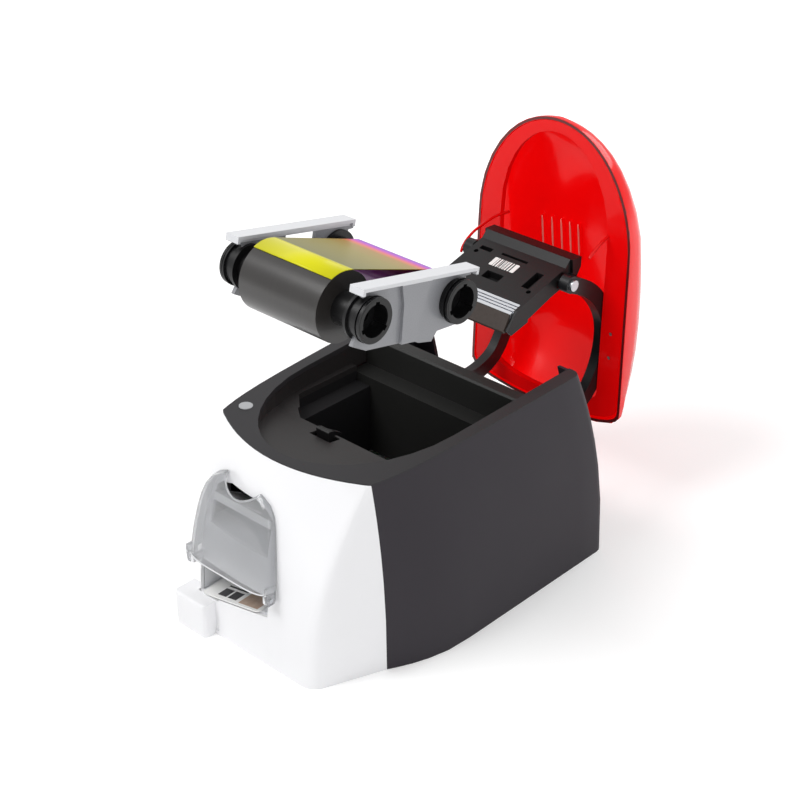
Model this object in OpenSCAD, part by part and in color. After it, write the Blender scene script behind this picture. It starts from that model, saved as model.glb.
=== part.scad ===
// Desktop ID card printer with a translucent top cover standing open
// and its ribbon cassette lifted out above the well.
// Units are millimetres, +Z is up and the front faces -Y.

/* [Body] */
// Height of the deck plane above the table at the front corners
deck_z = 135.76; // [120:0.01:150]
// Rise of the deck per millimetre towards the back
deck_slope = 0.028; // [0:0.001:0.06]
// Half the width of the deck at its front corners
nose_half_w = 64.5; // [58:0.1:70]
// How far the front edge of the deck bulges forward
nose_bulge = 18.7; // [10:0.1:26]
// Depth of the deck from the front corners to the back edge
deck_len = 183.6; // [170:0.1:200]
// Half the width of the base
base_half_w = 87.2; // [80:0.1:92]
// Front face of the base, ahead of the deck corners
base_front = 42; // [36:0.5:50]
// Back face of the base
base_back = 206; // [195:0.5:215]
// Wall thickness of the outer shells
wall = 2.4; // [1.8:0.1:3.2]
// Thickness of the base tray
tray_t = 3; // [2:0.5:5]

/* [Cover] */
// Angle by which the cover stands open
open_angle = 92.63; // [0:0.01:92.63]
// Distance of the cover hinge behind the deck corners
hinge_y = 185; // [180:0.5:190]
// Height of the cover hinge
hinge_z = 84; // [78:0.5:90]
// Radius of the cover hinge pin
hinge_pin_r = 3; // [2:0.25:4]
// Half the width of the cover rim
cover_half_w = 65.5; // [60:0.1:68]
// Length of the cover from nose to tail
cover_len = 213; // [200:0.5:220]
// Wall thickness of the cover
cover_t = 2.2; // [1.6:0.1:3]
// Width of the inner rim plate
rim_plate_w = 19.5; // [12:0.5:24]

/* [Ribbon cassette] */
// Half the distance between the two flanges
flange_half = 45.7; // [40:0.1:50]
// Distance between the two spool axes
spool_pitch = 70.7; // [60:0.1:80]
// Radius of the full roll of film
supply_r = 20.4; // [14:0.1:24]
// Radius of the used roll of film
takeup_r = 11; // [9.8:0.1:20]
// Width of the film
film_w = 59.4; // [50:0.1:62]
// Outer radius of the spool ends
hub_r = 12.6; // [10:0.1:14]
// Tilt of the lifted cassette, back end down
cassette_tilt = 11.6; // [0:0.1:20]

/* [Rollers and gears] */
// Radius of the platen rubber
platen_r = 7; // [5:0.1:9]
// Radius of every roller shaft
shaft_r = 3; // [2:0.1:4]
// Gear module
gear_m = 0.8; // [0.6:0.1:1]
// Teeth on the platen gear
platen_teeth = 32; // [24:1:40]
// Teeth on each large idler
idler_teeth = 40; // [30:1:44]
// Teeth on the small idler
small_teeth = 24; // [20:1:30]
// Teeth on the feed roller gear
feed_teeth = 30; // [24:1:36]
// Teeth on the motor pinion
pinion_teeth = 14; // [12:1:18]
// Width of every gear
gear_w = 4.4; // [3:0.1:6]

/* [Card feeder] */
// Card length
card_len = 85.6; // [85:0.1:86]
// Card width
card_w = 54; // [53.9:0.1:54.1]
// Number of blank cards in the feeder
card_count = 6; // [1:1:8]
// Middle of the card path, left of the middle of the machine
path_x = -17.5; // [-20:0.1:0]
// Radius of the power button
button_r = 4.5; // [3.5:0.1:6]

/* [Display] */
// Piece to show

/* [Hidden] */
$fn = 48;
fit = 0.05;
air = 0.2;
origin_y = 82;
lip = 0.8;
lean = 2.2;
corner_x = 44;
corner_y = -30;
corner_r = 12;
seam_x = 71;
seam_y = 6;
rim_gap = 0.5;
deck_tilt = atan(deck_slope);
card_t = 0.76;
slope_y = 43;
slope = 30;
bin_roll = 11.5;
bin_rise = 3.3;

// Halves of the outline are numbered from the middle of the front (0)
// past the seam (16) to the middle of the back (34)
seam_k = 16;
last_k = 34;
side_ys = [0, 6, 14, 24, 38, 56, 80, 108, 136, 160, deck_len - 6];
levels = [0.05, 0.11, 0.18, 0.27, 0.38, 0.52, 0.72, 1];

function deck_at(y) = deck_z + deck_slope * y;

function side_w(y) = nose_half_w + 6.74 * (1 - exp(-y / 25)) + 5.11 * y / 190;

function base_side_x(y) = let (v = min(1, (y - seam_y) / 56))
    seam_x + (base_half_w - seam_x) * (1 - (1 - v) * (1 - v));

function front_s(k) = k <= 8 ? 0.93 * k / 8
    : k <= 12 ? 0.93 + 0.045 * (k - 8) / 4
    : 0.975 + 0.025 * (k - 12) / 4;

function arc_end() = [corner_x + corner_r * cos(-23), corner_y + corner_r * sin(-23)];

function base_front_pt(k) = k <= 8 ? [corner_x * k / 8, -base_front]
    : k <= 12 ? let (a = -90 + 67 * (k - 8) / 4)
        [corner_x + corner_r * cos(a), corner_y + corner_r * sin(a)]
    : arc_end() + ([seam_x, seam_y] - arc_end()) * (k - 12) / 4;

function top_pt(k) = k <= seam_k
    ? [nose_half_w * front_s(k), -nose_bulge * (1 - front_s(k) * front_s(k))]
    : k <= 26 ? [side_w(side_ys[k - seam_k]), side_ys[k - seam_k]]
    : k <= 30 ? let (a = 90 * (k - 26) / 4, w = side_w(deck_len - 6))
        [w - 6 + 6 * cos(a), deck_len - 6 + 6 * sin(a)]
    : [(side_w(deck_len - 6) - 6) * (last_k - k) / 4, deck_len];

function base_pt(k) = k <= seam_k ? base_front_pt(k)
    : k <= 26 ? let (v = side_ys[k - seam_k] / (deck_len - 6),
        y = seam_y + (base_back - 8 - seam_y) * v) [base_side_x(y), y]
    : k <= 30 ? let (a = 90 * (k - 26) / 4)
        [base_half_w - 8 + 8 * cos(a), base_back - 8 + 8 * sin(a)]
    : [(base_half_w - 8) * (last_k - k) / 4, base_back];

function lean_at(u) = 1 - pow(1 - u, lean);

function skin_pt(k, u) = let (
    j = k > last_k ? k - 2 * last_k : (k < -last_k ? k + 2 * last_k : k),
    a = abs(j),
    t = top_pt(a),
    b = base_pt(a),
    p = t + (b - t) * lean_at(u))
    [sign(j) * p.x, p.y, deck_at(t.y) * (1 - u)];

// Point of the skin moved inwards by d, square to the outline
function inner_pt(k, u, d) = let (
    p = skin_pt(k, u),
    q = skin_pt(k + 1, u) - skin_pt(k - 1, u),
    n = norm([q.x, q.y]))
    [p.x - d * q.y / n, p.y + d * q.x / n, p.z];

// Depth of the front skin at x, seen at height z
function skin_y(x, z) = lookup(abs(x), [for (k = [0:seam_k])
    let (p = skin_pt(k, 1 - z / deck_at(top_pt(k).y))) [p.x, p.y]]);

// Wall piece that follows the skin from outline point k0 to k1
module skin_strip(k0, k1, us, d) {
    n = len(us);
    m = 2 * n;
    rings = concat([for (u = us) [u, 0]], [for (i = [n - 1:-1:0]) [us[i], d]]);
    pts = [for (k = [k0:k1]) for (r = rings) inner_pt(k, r[0], r[1])];
    sides = [for (i = [0:k1 - k0 - 1]) for (j = [0:m - 1])
        let (a = i * m + j, b = i * m + (j + 1) % m, c = b + m, e = a + m)
        each [[a, e, c], [a, c, b]]];
    z = (k1 - k0) * m;
    ends = [for (j = [0:n - 2]) let (a = j, b = j + 1, c = m - 2 - j, e = m - 1 - j)
        each [[a, b, c], [a, c, e], [z + b, z + a, z + e], [z + b, z + e, z + c]]];
    polyhedron(points = pts, faces = concat(sides, ends));
}

// Closed slab that follows the whole outline through the listed [level, inset] rings
module skin_slab(rings, mid_top, mid_low) {
    w = 2 * last_k;
    n = len(rings);
    pts = concat(
        [for (r = rings) for (k = [-last_k:last_k - 1]) inner_pt(k, r[0], r[1])],
        [[0, 90, mid_top], [0, 90, mid_low]]);
    sides = [for (j = [0:n - 2]) for (i = [0:w - 1])
        let (a = j * w + i, b = j * w + (i + 1) % w)
        each [[a, b, b + w], [a, b + w, a + w]]];
    caps = [for (i = [0:w - 1])
        let (b = (i + 1) % w, z = (n - 1) * w)
        each [[n * w, b, i], [n * w + 1, z + i, z + b]]];
    polyhedron(points = pts, faces = concat(sides, caps));
}

module machine() {
    translate([0, -origin_y, 0]) children();
}

module swing() {
    translate([0, hinge_y, hinge_z])
        rotate([-open_angle, 0, 0])
            translate([0, -hinge_y, -hinge_z])
                children();
}

// Frame of the cover rim while the cover is shut
module on_rim() {
    translate([0, 0, deck_z + rim_gap]) rotate([deck_tilt, 0, 0]) children();
}

module under_deck(drop) {
    translate([0, 0, deck_z - drop])
        rotate([deck_tilt, 0, 0])
            translate([-150, -150, -300])
                cube([300, 500, 300]);
}

// Profile drawn in the Y-Z plane and given width along X
module across(x0, w) {
    translate([x0, 0, 0]) rotate([90, 0, 90]) linear_extrude(w) children();
}

module rod(x0, x1, r, at) {
    translate([x0, at[0], at[1]]) rotate([0, 90, 0]) cylinder(h = x1 - x0, r = r);
}

module tube_x(x0, x1, r, bore, at) {
    difference() {
        rod(x0, x1, r, at);
        rod(x0 - 1, x1 + 1, bore, at);
    }
}

function path_dir(p, i) = let (
    a = p[max(0, i - 1)],
    b = p[min(len(p) - 1, i + 1)],
    d = b - a)
    d / norm(d);

// Outline of constant width around a path of points
function path_band(p, h) = concat(
    [for (i = [0:len(p) - 1]) let (d = path_dir(p, i)) p[i] + h * [-d.y, d.x]],
    [for (i = [len(p) - 1:-1:0]) let (d = path_dir(p, i)) p[i] - h * [-d.y, d.x]]);

// Points of a smooth curve through every point of p
function smooth_path(p, steps) = concat(
    [for (i = [0:len(p) - 2]) for (j = [0:steps - 1])
        let (t = j / steps,
            a = p[max(0, i - 1)], b = p[i], c = p[i + 1], e = p[min(len(p) - 1, i + 2)])
        0.5 * (2 * b + (c - a) * t + (2 * a - 5 * b + 4 * c - e) * t * t
            + (3 * b - a - 3 * c + e) * t * t * t)],
    [p[len(p) - 1]]);

// Outline of the opening in the deck, grown outwards by g
recess_ys = [-11, -10.7, -9.8, -8, -5, 0, 7, 16, 27, 40, 56, 73.7, 100, 140, deck_len + 6.4];

function recess_w(y) = let (v = min(1, max(0, (y + 11) / 84.7)))
    nose_half_w * sqrt(1 - (1 - v) * (1 - v)) + 0.015 * max(0, y - 73.7);

function recess_pts(g) = concat(
    [for (y = recess_ys) [(recess_w(y) + (y > -11 ? g : 0)), y - (y < 20 ? g * (20 - y) / 31 : 0)]],
    [for (i = [len(recess_ys) - 1:-1:0]) let (y = recess_ys[i])
        [-(recess_w(y) + (y > -11 ? g : 0)), y - (y < 20 ? g * (20 - y) / 31 : 0)]]);

well_pts = [[-38, 41.5], [38, 41.5], [48, 49], [48, 116], [-48, 116], [-48, 49]];
well_outer = [[-40, 39.5], [40, 39.5], [50, 47], [50, 116], [-50, 116], [-50, 47]];
ledge_pts = [[-38, 41.5], [38, 41.5], [60.5, 62], [60.5, 116], [-60.5, 116], [-60.5, 62]];
ledge_outer = [[-39, 39.5], [39, 39.5], [62.2, 61], [62.2, 116], [-62.2, 116], [-62.2, 61]];
button_at = [-57, 12.7];
platen_at = [100.5, 42];
feed_at = [26, 53.5];
feed_r = 6.4;
pivot_at = [84, 105];
lid_axis = [-43, 53.2];
plate_x = 52;
plate_t = 1.5;
gear_x = 54.8;
slope_z = (sin(slope) * (feed_at[0] - slope_y) + cos(slope) * feed_at[1] + feed_r + 0.32) / cos(slope);

// White front shell with the hopper window, the bin mouth and the bin lobe
module front_cover() color([0.94, 0.94, 0.95]) machine() {
    difference() {
        union() {
            skin_strip(-seam_k, seam_k, concat([lip / deck_z], levels), wall);
            bin_lobe();
            for (s = [-1, 1]) lid_ear(s);
        }
        feed_window();
        bin_mouth();
        translate([-34.6, -53, 3]) cube([3.2, 12, 24]);
        rod(-60, 30, 1.5, lid_axis);
    }
}

module feed_window() {
    translate([path_x, 10, 0]) rotate([90, 0, 0]) linear_extrude(70) polygon([[-27.8, 76],
        [27.8, 76], [27.8, 100], [22, 104.5], [12, 107.5], [-12, 107.5], [-22, 104.5], [-27.8, 100]]);
}

module bin_mouth() {
    rotate([90, 0, 0]) linear_extrude(60) polygon([[-50, 25.2], [-31.4, 25.2], [-31.4, 26.9],
        [14, 36.1], [14, 50.2], [-50, 50.2]]);
}

// Block left of the bin mouth, rounded in plan and over its front edge
module bin_lobe() {
    difference() {
        intersection() {
            translate([0, 0, 0]) linear_extrude(30) polygon(concat(
                [[-34.6, -38], [-34.6, -47.5]],
                arc_pts([-37.6, -47.5], 3, -15, -90, 5),
                arc_pts([-60, -47.5], 3, -90, -180, 6),
                [[-63, -33], [-54.6, -33], [-52.4, -37]]));
            across(-70, 40) polygon(concat(
                [[-30, 0], [-50.5, 0]],
                arc_pts([-48.5, 22.6], 2, 180, 90, 5),
                [[-30, 24.6]]));
        }
        translate([-52.2, -39.6, -1]) cube([30, 10.8, 40]);
    }
}

function arc_pts(c, r, a0, a1, n) = [for (i = [0:n])
    let (a = a0 + (a1 - a0) * i / n) c + r * [cos(a), sin(a)]];

module lid_ear(s) {
    translate([s > 0 ? 16.2 : -49.8, -45.6, 50.5]) cube([2.4, 11, 4.9]);
}

// Dark shell of the sides and the back, cut down between the side walls
module side_shell() color([0.24, 0.24, 0.26]) machine() {
    difference() {
        union() {
            skin_strip(seam_k, last_k, concat([lip / deck_z], levels), wall);
            skin_strip(-last_k, -seam_k, concat([lip / deck_z], levels), wall);
        }
        translate([-58, 150, 76]) cube([116, 80, 80]);
        socket_windows();
        vent_slots();
    }
}

module socket_windows() {
    translate([19.4, 195, 11.4]) cube([13.2, 20, 12.2]);
    translate([-31, 195, 18]) rotate([-90, 0, 0]) cylinder(h = 20, r = 5.4);
}

module vent_slots() {
    for (i = [0:5]) {
        translate([-24 + 8 * i, 195, 34]) cube([3.4, 20, 22]);
    }
}

// Dark top frame round the well, with the button bore
module deck_frame() color([0.3, 0.3, 0.32]) machine() {
    difference() {
        skin_slab([[0, 0], [lip / deck_z, 0], [lip / deck_z, wall + 0.2],
            [3.6 / deck_z, wall + 0.2]], deck_at(90), deck_at(90) - 3.6);
        translate([0, 0, 100]) linear_extrude(60) polygon(recess_pts(0));
        translate([-60, deck_len - 4.6, 100]) cube([120, 20, 60]);
        translate([button_at.x, button_at.y, 100]) cylinder(h = 50, r = button_r + fit);
        for (p = button_screws) {
            translate([p.x, p.y, 100]) cylinder(h = 33.2, r = 0.82);
        }
    }
}

button_screws = [[-62.8, 15.6], [-51.2, 9.8]];

// Flat floor of the machine, seated inside the shells
module base_tray() color([0.16, 0.16, 0.17]) machine() {
    difference() {
        union() {
            translate([0, 0, 0]) linear_extrude(tray_t) polygon(
                [for (k = [-last_k:last_k - 1]) let (p = inner_pt(k, 1, wall + air)) [p.x, p.y]]);
            for (p = board_posts) {
                translate([p.x, p.y, tray_t - 0.5]) cylinder(h = 7.5, r = 3);
            }
        }
        for (p = foot_spots) {
            translate([p.x, p.y, -1]) cylinder(h = 2.2, r = 7.05);
        }
        for (p = board_posts) {
            translate([p.x, p.y, 2]) cylinder(h = 20, r = 1.25);
        }
        for (s = [-1, 1]) for (y = [20, 170]) {
            translate([s * 60, y, -1]) cylinder(h = 10, r = 1.65);
        }
    }
}

foot_spots = [[-42, -26], [42, -26], [70, 180], [-70, 180]];
board_posts = [[-44, 149], [44, 149], [-44, 192], [44, 192]];

module rubber_feet() color([0.09, 0.09, 0.09]) machine() {
    for (p = foot_spots) {
        translate([p.x, p.y, 0]) cylinder(h = 1.2, r = 7);
    }
}

// Dished floor behind the nose and the walls of the ribbon well
module well_liner() color([0.2, 0.2, 0.21]) machine() {
    difference() {
        intersection() {
            under_deck(3.9);
            union() {
                difference() {
                    translate([0, 0, 119]) linear_extrude(30) polygon(recess_pts(1.6));
                    translate([0, 0, 100]) linear_extrude(60) polygon(recess_pts(0));
                }
                intersection() {
                    translate([0, 0, 100]) linear_extrude(60) polygon(recess_pts(0.8));
                    across(-70, 140) polygon([[-14, 131.5], [41.5, 123], [115.8, 123],
                        [115.8, 121], [41.5, 121], [-14, 129.5]]);
                }
                translate([0, 0, 62]) linear_extrude(60.5) polygon(well_outer);
                translate([0, 0, 110]) linear_extrude(12.5) polygon(ledge_outer);
            }
        }
        translate([0, 0, 50]) linear_extrude(90) polygon(well_pts);
        translate([0, 0, 112]) linear_extrude(28) polygon(ledge_pts);
        translate([-80, 115.8, 50]) cube([160, 4, 66]);
        translate([-80, deck_len - 1.6, 50]) cube([160, 20, 120]);
        translate([sensor_x - 9, 30, 110]) cube([18, 9.5, 30]);
        translate([sensor_x - 3.3, 36, 116]) cube([6.6, 7, 20]);
        rod(40, 60, shaft_r + 0.3, hub_at);
    }
}

// Cross bar behind the well with its step and lower ledge
module rear_shelf() color([0.24, 0.25, 0.24]) machine() {
    difference() {
        across(-65, 130) polygon([[116, 62], [118, 62], [118, 116], [130, 116], [132, 118],
            [132, 137], [139.4, 137], [139.4, 112], [141.4, 112], [141.4, 137.6],
            [139.8, 139.2], [131.2, 139.2], [130, 138], [130, 118], [116, 118]]);
        for (s = [-1, 1]) {
            translate([s > 0 ? 50.2 : -70, 110, 50]) cube([19.8, 8, 60]);
        }
    }
}

// Upright metal side plate that carries the shafts
module side_plate(x) {
    difference() {
        across(x, plate_t) polygon([[-8, tray_t], [193, tray_t], [193, 88], [187, 94],
            [176, 94], [160, 110], [142, 110], [142, 111.8], [119, 111.8], [119, 108],
            [60, 108], [38, 88], [6, 72], [-8, 40]]);
        rod(x - 1, x + 3, shaft_r + 2, platen_at);
        rod(x - 1, x + 3, shaft_r + 2, feed_at);
        rod(x - 1, x + 3, hinge_pin_r + 0.02, [hinge_y, hinge_z]);
        for (p = tie_spots) {
            rod(x - 1, x + 3, 1.6, p);
        }
    }
}

tie_spots = [[0, 16], [60, 90], [172, 70], [122, 20]];

module chassis_left() color([0.7, 0.71, 0.72]) machine() {
    side_plate(-plate_x - plate_t);
}

module chassis_right() color([0.7, 0.71, 0.72]) machine() {
    difference() {
        side_plate(plate_x);
        rod(plate_x - 1, plate_x + 3, 1.2 + shaft_r, pinion_at);
        for (p = motor_screws) {
            rod(plate_x - 1, plate_x + 3, 1.1, p);
        }
        rod(plate_x - 1, plate_x + 3, shaft_r + fit, hub_at);
    }
}

// Cross rods that hold the two side plates apart
module tie_rods() color([0.75, 0.76, 0.77]) machine() {
    for (p = [tie_spots[0], tie_spots[2], tie_spots[3]]) {
        tube_x(-plate_x, plate_x, 3.5, 1.3, p);
    }
}

// Screws of the side plates and of the motor
module frame_screws() color([0.55, 0.56, 0.58]) machine() {
    for (p = [tie_spots[0], tie_spots[2], tie_spots[3]]) for (s = [-1, 1]) {
        mirror([s < 0 ? 1 : 0, 0, 0]) pan_screw(8, 1.28, 2.8, p);
    }
    for (p = motor_screws) pan_screw(3.8, 1.08, 2.2, p);
}

module pan_screw(depth, r, head_r, p) {
    x = plate_x + plate_t;
    rod(plate_x - depth, x + 0.1, r, p);
    difference() {
        rod(x, x + 0.7 * head_r, head_r, p);
        translate([x + 0.4 * head_r, p[0] - 0.35, p[1] - 0.7 * head_r]) cube([3, 0.7, 1.4 * head_r]);
    }
}

// Bushings of the two roller shafts in the side plates
module bushings() color([0.6, 0.45, 0.25]) machine() {
    for (p = [platen_at, feed_at]) for (s = [-1, 1]) {
        mirror([s < 0 ? 1 : 0, 0, 0]) difference() {
            union() {
                rod(plate_x - 1.2, plate_x + plate_t + 0.4, shaft_r + 1.98, p);
                rod(plate_x - 1.2, plate_x - 0.05, shaft_r + 3, p);
            }
            rod(plate_x - 3, plate_x + 4, shaft_r + fit, p);
        }
    }
}

// Frame of the tipped bin floor: origin at its front left corner
module on_bin_floor() {
    translate([-50, -40, 24.4]) rotate([0, -bin_roll, 0]) rotate([bin_rise, 0, 0]) children();
}

// White liner of the output bin: tipped floor, side walls and stepped ceiling
module bin_liner() color([0.9, 0.9, 0.91]) machine() {
    intersection() {
        skin_slab([for (u = [0.38, 0.52, 0.72, 0.97]) [u, wall + 0.3]], deck_at(90) * 0.62, 3.5);
        difference() {
            union() {
                intersection() {
                    on_bin_floor() translate([-3, -4, -2]) cube([74, 94, 2]);
                    translate([-51.8, -50, 20]) cube([67.6, 98, 40]);
                }
                bin_wall(-51.8, 22.3);
                bin_wall(14, 35.3);
                translate([-51.8, -41, 71.8]) cube([67.6, 38, 1.8]);
                translate([-51.8, -4.8, 44.8]) cube([67.6, 1.8, 28.8]);
                translate([-51.8, -4.8, 44.8]) cube([67.6, 52.8, 1.8]);
                translate([-51.8, 46.2, 28]) cube([67.6, 1.8, 17.6]);
                translate([-44, 38, tray_t]) cube([3, 8, 26.5]);
                translate([8, 38, tray_t]) cube([3, 8, 37.2]);
                translate([-44, -30, tray_t]) cube([3, 8, 22.6]);
                translate([8, -30, tray_t]) cube([3, 8, 33.2]);
            }
            translate([-34.6, -43, 18]) cube([3.2, 9, 20]);
        }
    }
}

module bin_wall(x, low) {
    across(x, 1.8) polygon([[-44, low], [48, low + 5], [48, 46.6], [-3, 46.6], [-3, 73.6], [-44, 73.6]]);
}

// Printed card with a generic layout, dropped in the bin
module printed_card() color([0.93, 0.93, 0.92]) machine() {
    on_bin_floor() translate([3.6, -1.2, 0.3]) card();
}

module card() {
    x = card_w;
    y = card_len;
    linear_extrude(card_t) polygon([[3, 0], [x - 3, 0], [x - 0.9, 0.9], [x, 3],
        [x, y - 3], [x - 0.9, y - 0.9], [x - 3, y], [3, y],
        [0.9, y - 0.9], [0, y - 3], [0, 3], [0.9, 0.9]]);
}

// Frame of the feeder slope: origin at its lower end, +Y up the slope
module on_slope() {
    translate([path_x, slope_y, slope_z]) rotate([0, 0, 180]) rotate([slope, 0, 0]) children();
}

// Sloping tray that the blank cards lean on, with a window for the feed roller
module feeder_tray() color([0.88, 0.88, 0.9]) machine() {
    difference() {
        on_slope() union() {
            translate([-29.4, -2, -2]) cube([58.8, 78, 1.9]);
            for (x = [-29.4, 27.6]) translate([x, -2, -2]) cube([1.8, 78, 7]);
            translate([-29.4, -3.8, -2]) cube([58.8, 1.8, 5]);
        }
        translate([path_x - 14, feed_at[0] - 6, feed_at[1] - 4]) cube([28, 18, 20]);
    }
    translate([-plate_x, 16, 66]) cube([plate_x + path_x - 29.2, 4, 2]);
    translate([path_x + 29.2, 16, 66]) cube([plate_x - path_x - 29.2, 4, 2]);
}

// Blank cards waiting in the feeder
module blank_cards() color([0.97, 0.97, 0.97]) machine() {
    on_slope() for (i = [0:card_count - 1]) {
        translate([-card_w / 2, 0, i * (card_t + 0.02)]) card();
    }
}

// Smoked lid over the mouth of the feeder, hinged at its lower corners
lid_zs = [59, 66, 74, 82, 90, 98, 104, 109, 113];
lid_ws = [[59, 37], [66, 36.4], [74, 35.6], [82, 34.7], [90, 33.6], [98, 32.2], [104, 30.2],
    [109, 26.5], [113, 18]];
lid_ds = [[59, -48.5], [66, -47.5], [74, -46], [82, -44.2], [90, -42], [98, -39.2],
    [104, -36.4], [109, -33], [113, -29]];
lid_t = 1.8;

function lid_pt(i, a, t) = let (
    z = lid_zs[i] - (i == 0 ? 3.2 * sin(a) : 0),
    w = lookup(lid_zs[i], lid_ws) - t,
    yf = lookup(lid_zs[i], lid_ds) + t,
    c = cos(a),
    x = path_x + 1.8 - 0.065 * (lid_zs[i] - lid_zs[0]) + w * sign(c) * pow(abs(c), 0.42),
    yb = skin_y(x, lid_zs[i]) - 0.5)
    [x, yb - (yb - yf) * pow(max(0, sin(a)), 0.5), z];

module lid_shell() {
    n = len(lid_zs);
    m = 21;
    pts = [for (t = [0, lid_t]) for (i = [0:n - 1]) for (j = [0:m - 1]) lid_pt(i, 180 * j / (m - 1), t)];
    h = n * m;
    skin = [for (i = [0:n - 2]) for (j = [0:m - 2]) let (a = i * m + j, b = a + 1, c = b + m, e = a + m)
        each [[a, b, c], [a, c, e], [h + a, h + c, h + b], [h + a, h + e, h + c]]];
    low = [for (j = [0:m - 2]) let (a = j, b = j + 1) each [[a, h + a, h + b], [a, h + b, b]]];
    top = [for (j = [0:m - 2]) let (a = (n - 1) * m + j, b = a + 1) each [[a, b, h + b], [a, h + b, h + a]]];
    edge = [for (i = [0:n - 2]) let (a = i * m, e = a + m, b = a + m - 1, c = b + m)
        each [[a, e, h + e], [a, h + e, h + a], [b, h + b, h + c], [b, h + c, c]]];
    polyhedron(points = pts, faces = concat(skin, low, top, edge));
}

module hopper_lid() color([0.62, 0.62, 0.64, 0.55]) machine() {
    difference() {
        union() {
            lid_shell();
            for (s = [-1, 1]) lid_lug(s);
        }
        rod(-60, 30, 1.5 + fit, lid_axis);
        translate([-17, -26, 124]) rotate([35, 0, 0]) cylinder(h = 40, r = 17, center = true);
    }
}

module lid_lug(s) {
    across(s > 0 ? 18.9 : -52.5, 2.4) polygon([[-46, 50.3], [-40.6, 50.3], [-39.4, 53.2],
        [-38.9, 63], [-46.5, 63], [-47, 59]]);
}

// Hinge pins of the feeder lid
module lid_pins() color([0.75, 0.75, 0.77]) machine() {
    rod(16.4, 21.1, 1.49, lid_axis);
    rod(-52.3, -47.6, 1.49, lid_axis);
}

// Power button in the left shoulder of the deck
module power_button() color([0.62, 0.63, 0.64]) machine() {
    translate([button_at.x, button_at.y, 0]) union() {
        translate([0, 0, 128.4]) cylinder(h = 8.1, r = button_r);
        translate([0, 0, 128.4]) cylinder(h = 1.6, r = button_r + 0.9);
    }
}

// Housing under the deck that holds the button and its switch
module button_seat() color([0.12, 0.12, 0.13]) machine() {
    difference() {
        translate([button_at.x, button_at.y, 0]) union() {
            translate([0, 0, 121]) cylinder(h = 11.2, r = button_r + 3);
            for (p = button_screws) {
                translate([p.x - button_at.x, p.y - button_at.y, 121]) cylinder(h = 11.2, r = 2);
            }
        }
        translate([button_at.x, button_at.y, 123]) cylinder(h = 12, r = button_r + 1.2);
        for (p = button_screws) translate([p.x, p.y, 118]) cylinder(h = 20, r = 0.95);
    }
}

module button_switch() color([0.3, 0.3, 0.32]) machine() {
    translate([button_at.x, button_at.y, 0]) union() {
        translate([-3, -3, 123]) cube([6, 6, 2.6]);
        translate([0, 0, 125]) cylinder(h = 1.9, r = 1.6);
    }
}

// Card sensor at the front edge of the well
sensor_at = [36, 118.5];
sensor_x = -9;

module sensor_bracket() color([0.1, 0.1, 0.11]) machine() {
    translate([sensor_x, 0, 0]) union() {
        translate([-8, 31, 111]) cube([16, 8.3, 2.6]);
        for (x = [-8, 5.8]) translate([x, 33, 111]) cube([2.2, 6.3, 10]);
        translate([-8, 37.3, 106]) cube([16, 2, 6]);
        rod(-8, 8, 1, sensor_at);
    }
}

module sensor_lever() color([0.05, 0.05, 0.05]) machine() {
    translate([sensor_x, 0, 0]) difference() {
        union() {
            across(-5.5, 11) polygon([[33.8, 117], [35, 116.4], [37.5, 116.4], [38.3, 117.6],
                [38.3, 120.6], [37.4, 128.2], [33.8, 129.6], [32.6, 128.8], [33.2, 121]]);
            across(-2, 4) polygon([[37, 124.4], [39, 124], [47, 120.4], [47.6, 121.6], [39.4, 126.6]]);
        }
        rod(-20, 20, 1 + fit, sensor_at);
    }
}

// Gear with straight-sided teeth; a tooth points along the angle turn
module spur_gear(teeth, at, turn, bore, x = gear_x) {
    r = gear_m * teeth / 2;
    function half(h) = (0.68 - 0.36 * h / gear_m) * gear_m / (r + h) * 180 / PI;
    low = -1.1 * gear_m;
    high = 0.9 * gear_m;
    difference() {
        translate([0, at[0], at[1]]) across(x, gear_w) polygon(
            [for (i = [0:teeth - 1]) let (a = turn + 360 * i / teeth)
                for (q = [[low, -half(low)], [high, -half(high)], [high, half(high)], [low, half(low)]])
                    (r + q[0]) * [cos(a + q[1]), sin(a + q[1])]]);
        rod(x - 1, x + gear_w + 1, bore, at);
    }
}

function gear_r(teeth) = gear_m * teeth / 2;

function towards(p, q) = atan2(q[1] - p[1], q[0] - p[0]);

// Point at distance ra from p and rb from q, above the line from p to q
function meet(p, q, ra, rb) = let (
    d = norm(q - p),
    a = (ra * ra - rb * rb + d * d) / (2 * d),
    h = sqrt(max(0, ra * ra - a * a)),
    e = (q - p) / d)
    p + a * e + h * [e.y, -e.x];

// Turn of a gear at q that meshes with a gear at p
function mesh_turn(p, q, zp, zq, turn) = let (a = towards(p, q))
    a + 180 + 180 / zq - (turn - a) * zp / zq;

idler_a_at = platen_at + (gear_r(platen_teeth) + gear_r(idler_teeth)) * [cos(20), sin(20)];
pinion_at = idler_a_at + (gear_r(idler_teeth) + gear_r(pinion_teeth)) * [cos(-30), sin(-30)];
idler_b_at = platen_at + (gear_r(platen_teeth) + gear_r(idler_teeth)) * [cos(170), sin(170)];
idler_c_at = meet(idler_b_at, feed_at, gear_r(idler_teeth) + gear_r(small_teeth),
    gear_r(small_teeth) + gear_r(feed_teeth));
turn_a = mesh_turn(platen_at, idler_a_at, platen_teeth, idler_teeth, 0);
turn_p = mesh_turn(idler_a_at, pinion_at, idler_teeth, pinion_teeth, turn_a);
turn_b = mesh_turn(platen_at, idler_b_at, platen_teeth, idler_teeth, 0);
turn_c = mesh_turn(idler_b_at, idler_c_at, idler_teeth, small_teeth, turn_b);
turn_f = mesh_turn(idler_c_at, feed_at, small_teeth, feed_teeth, turn_c);
motor_screws = [for (s = [-1, 1]) pinion_at + s * 9 * [cos(60), sin(60)]];

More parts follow.
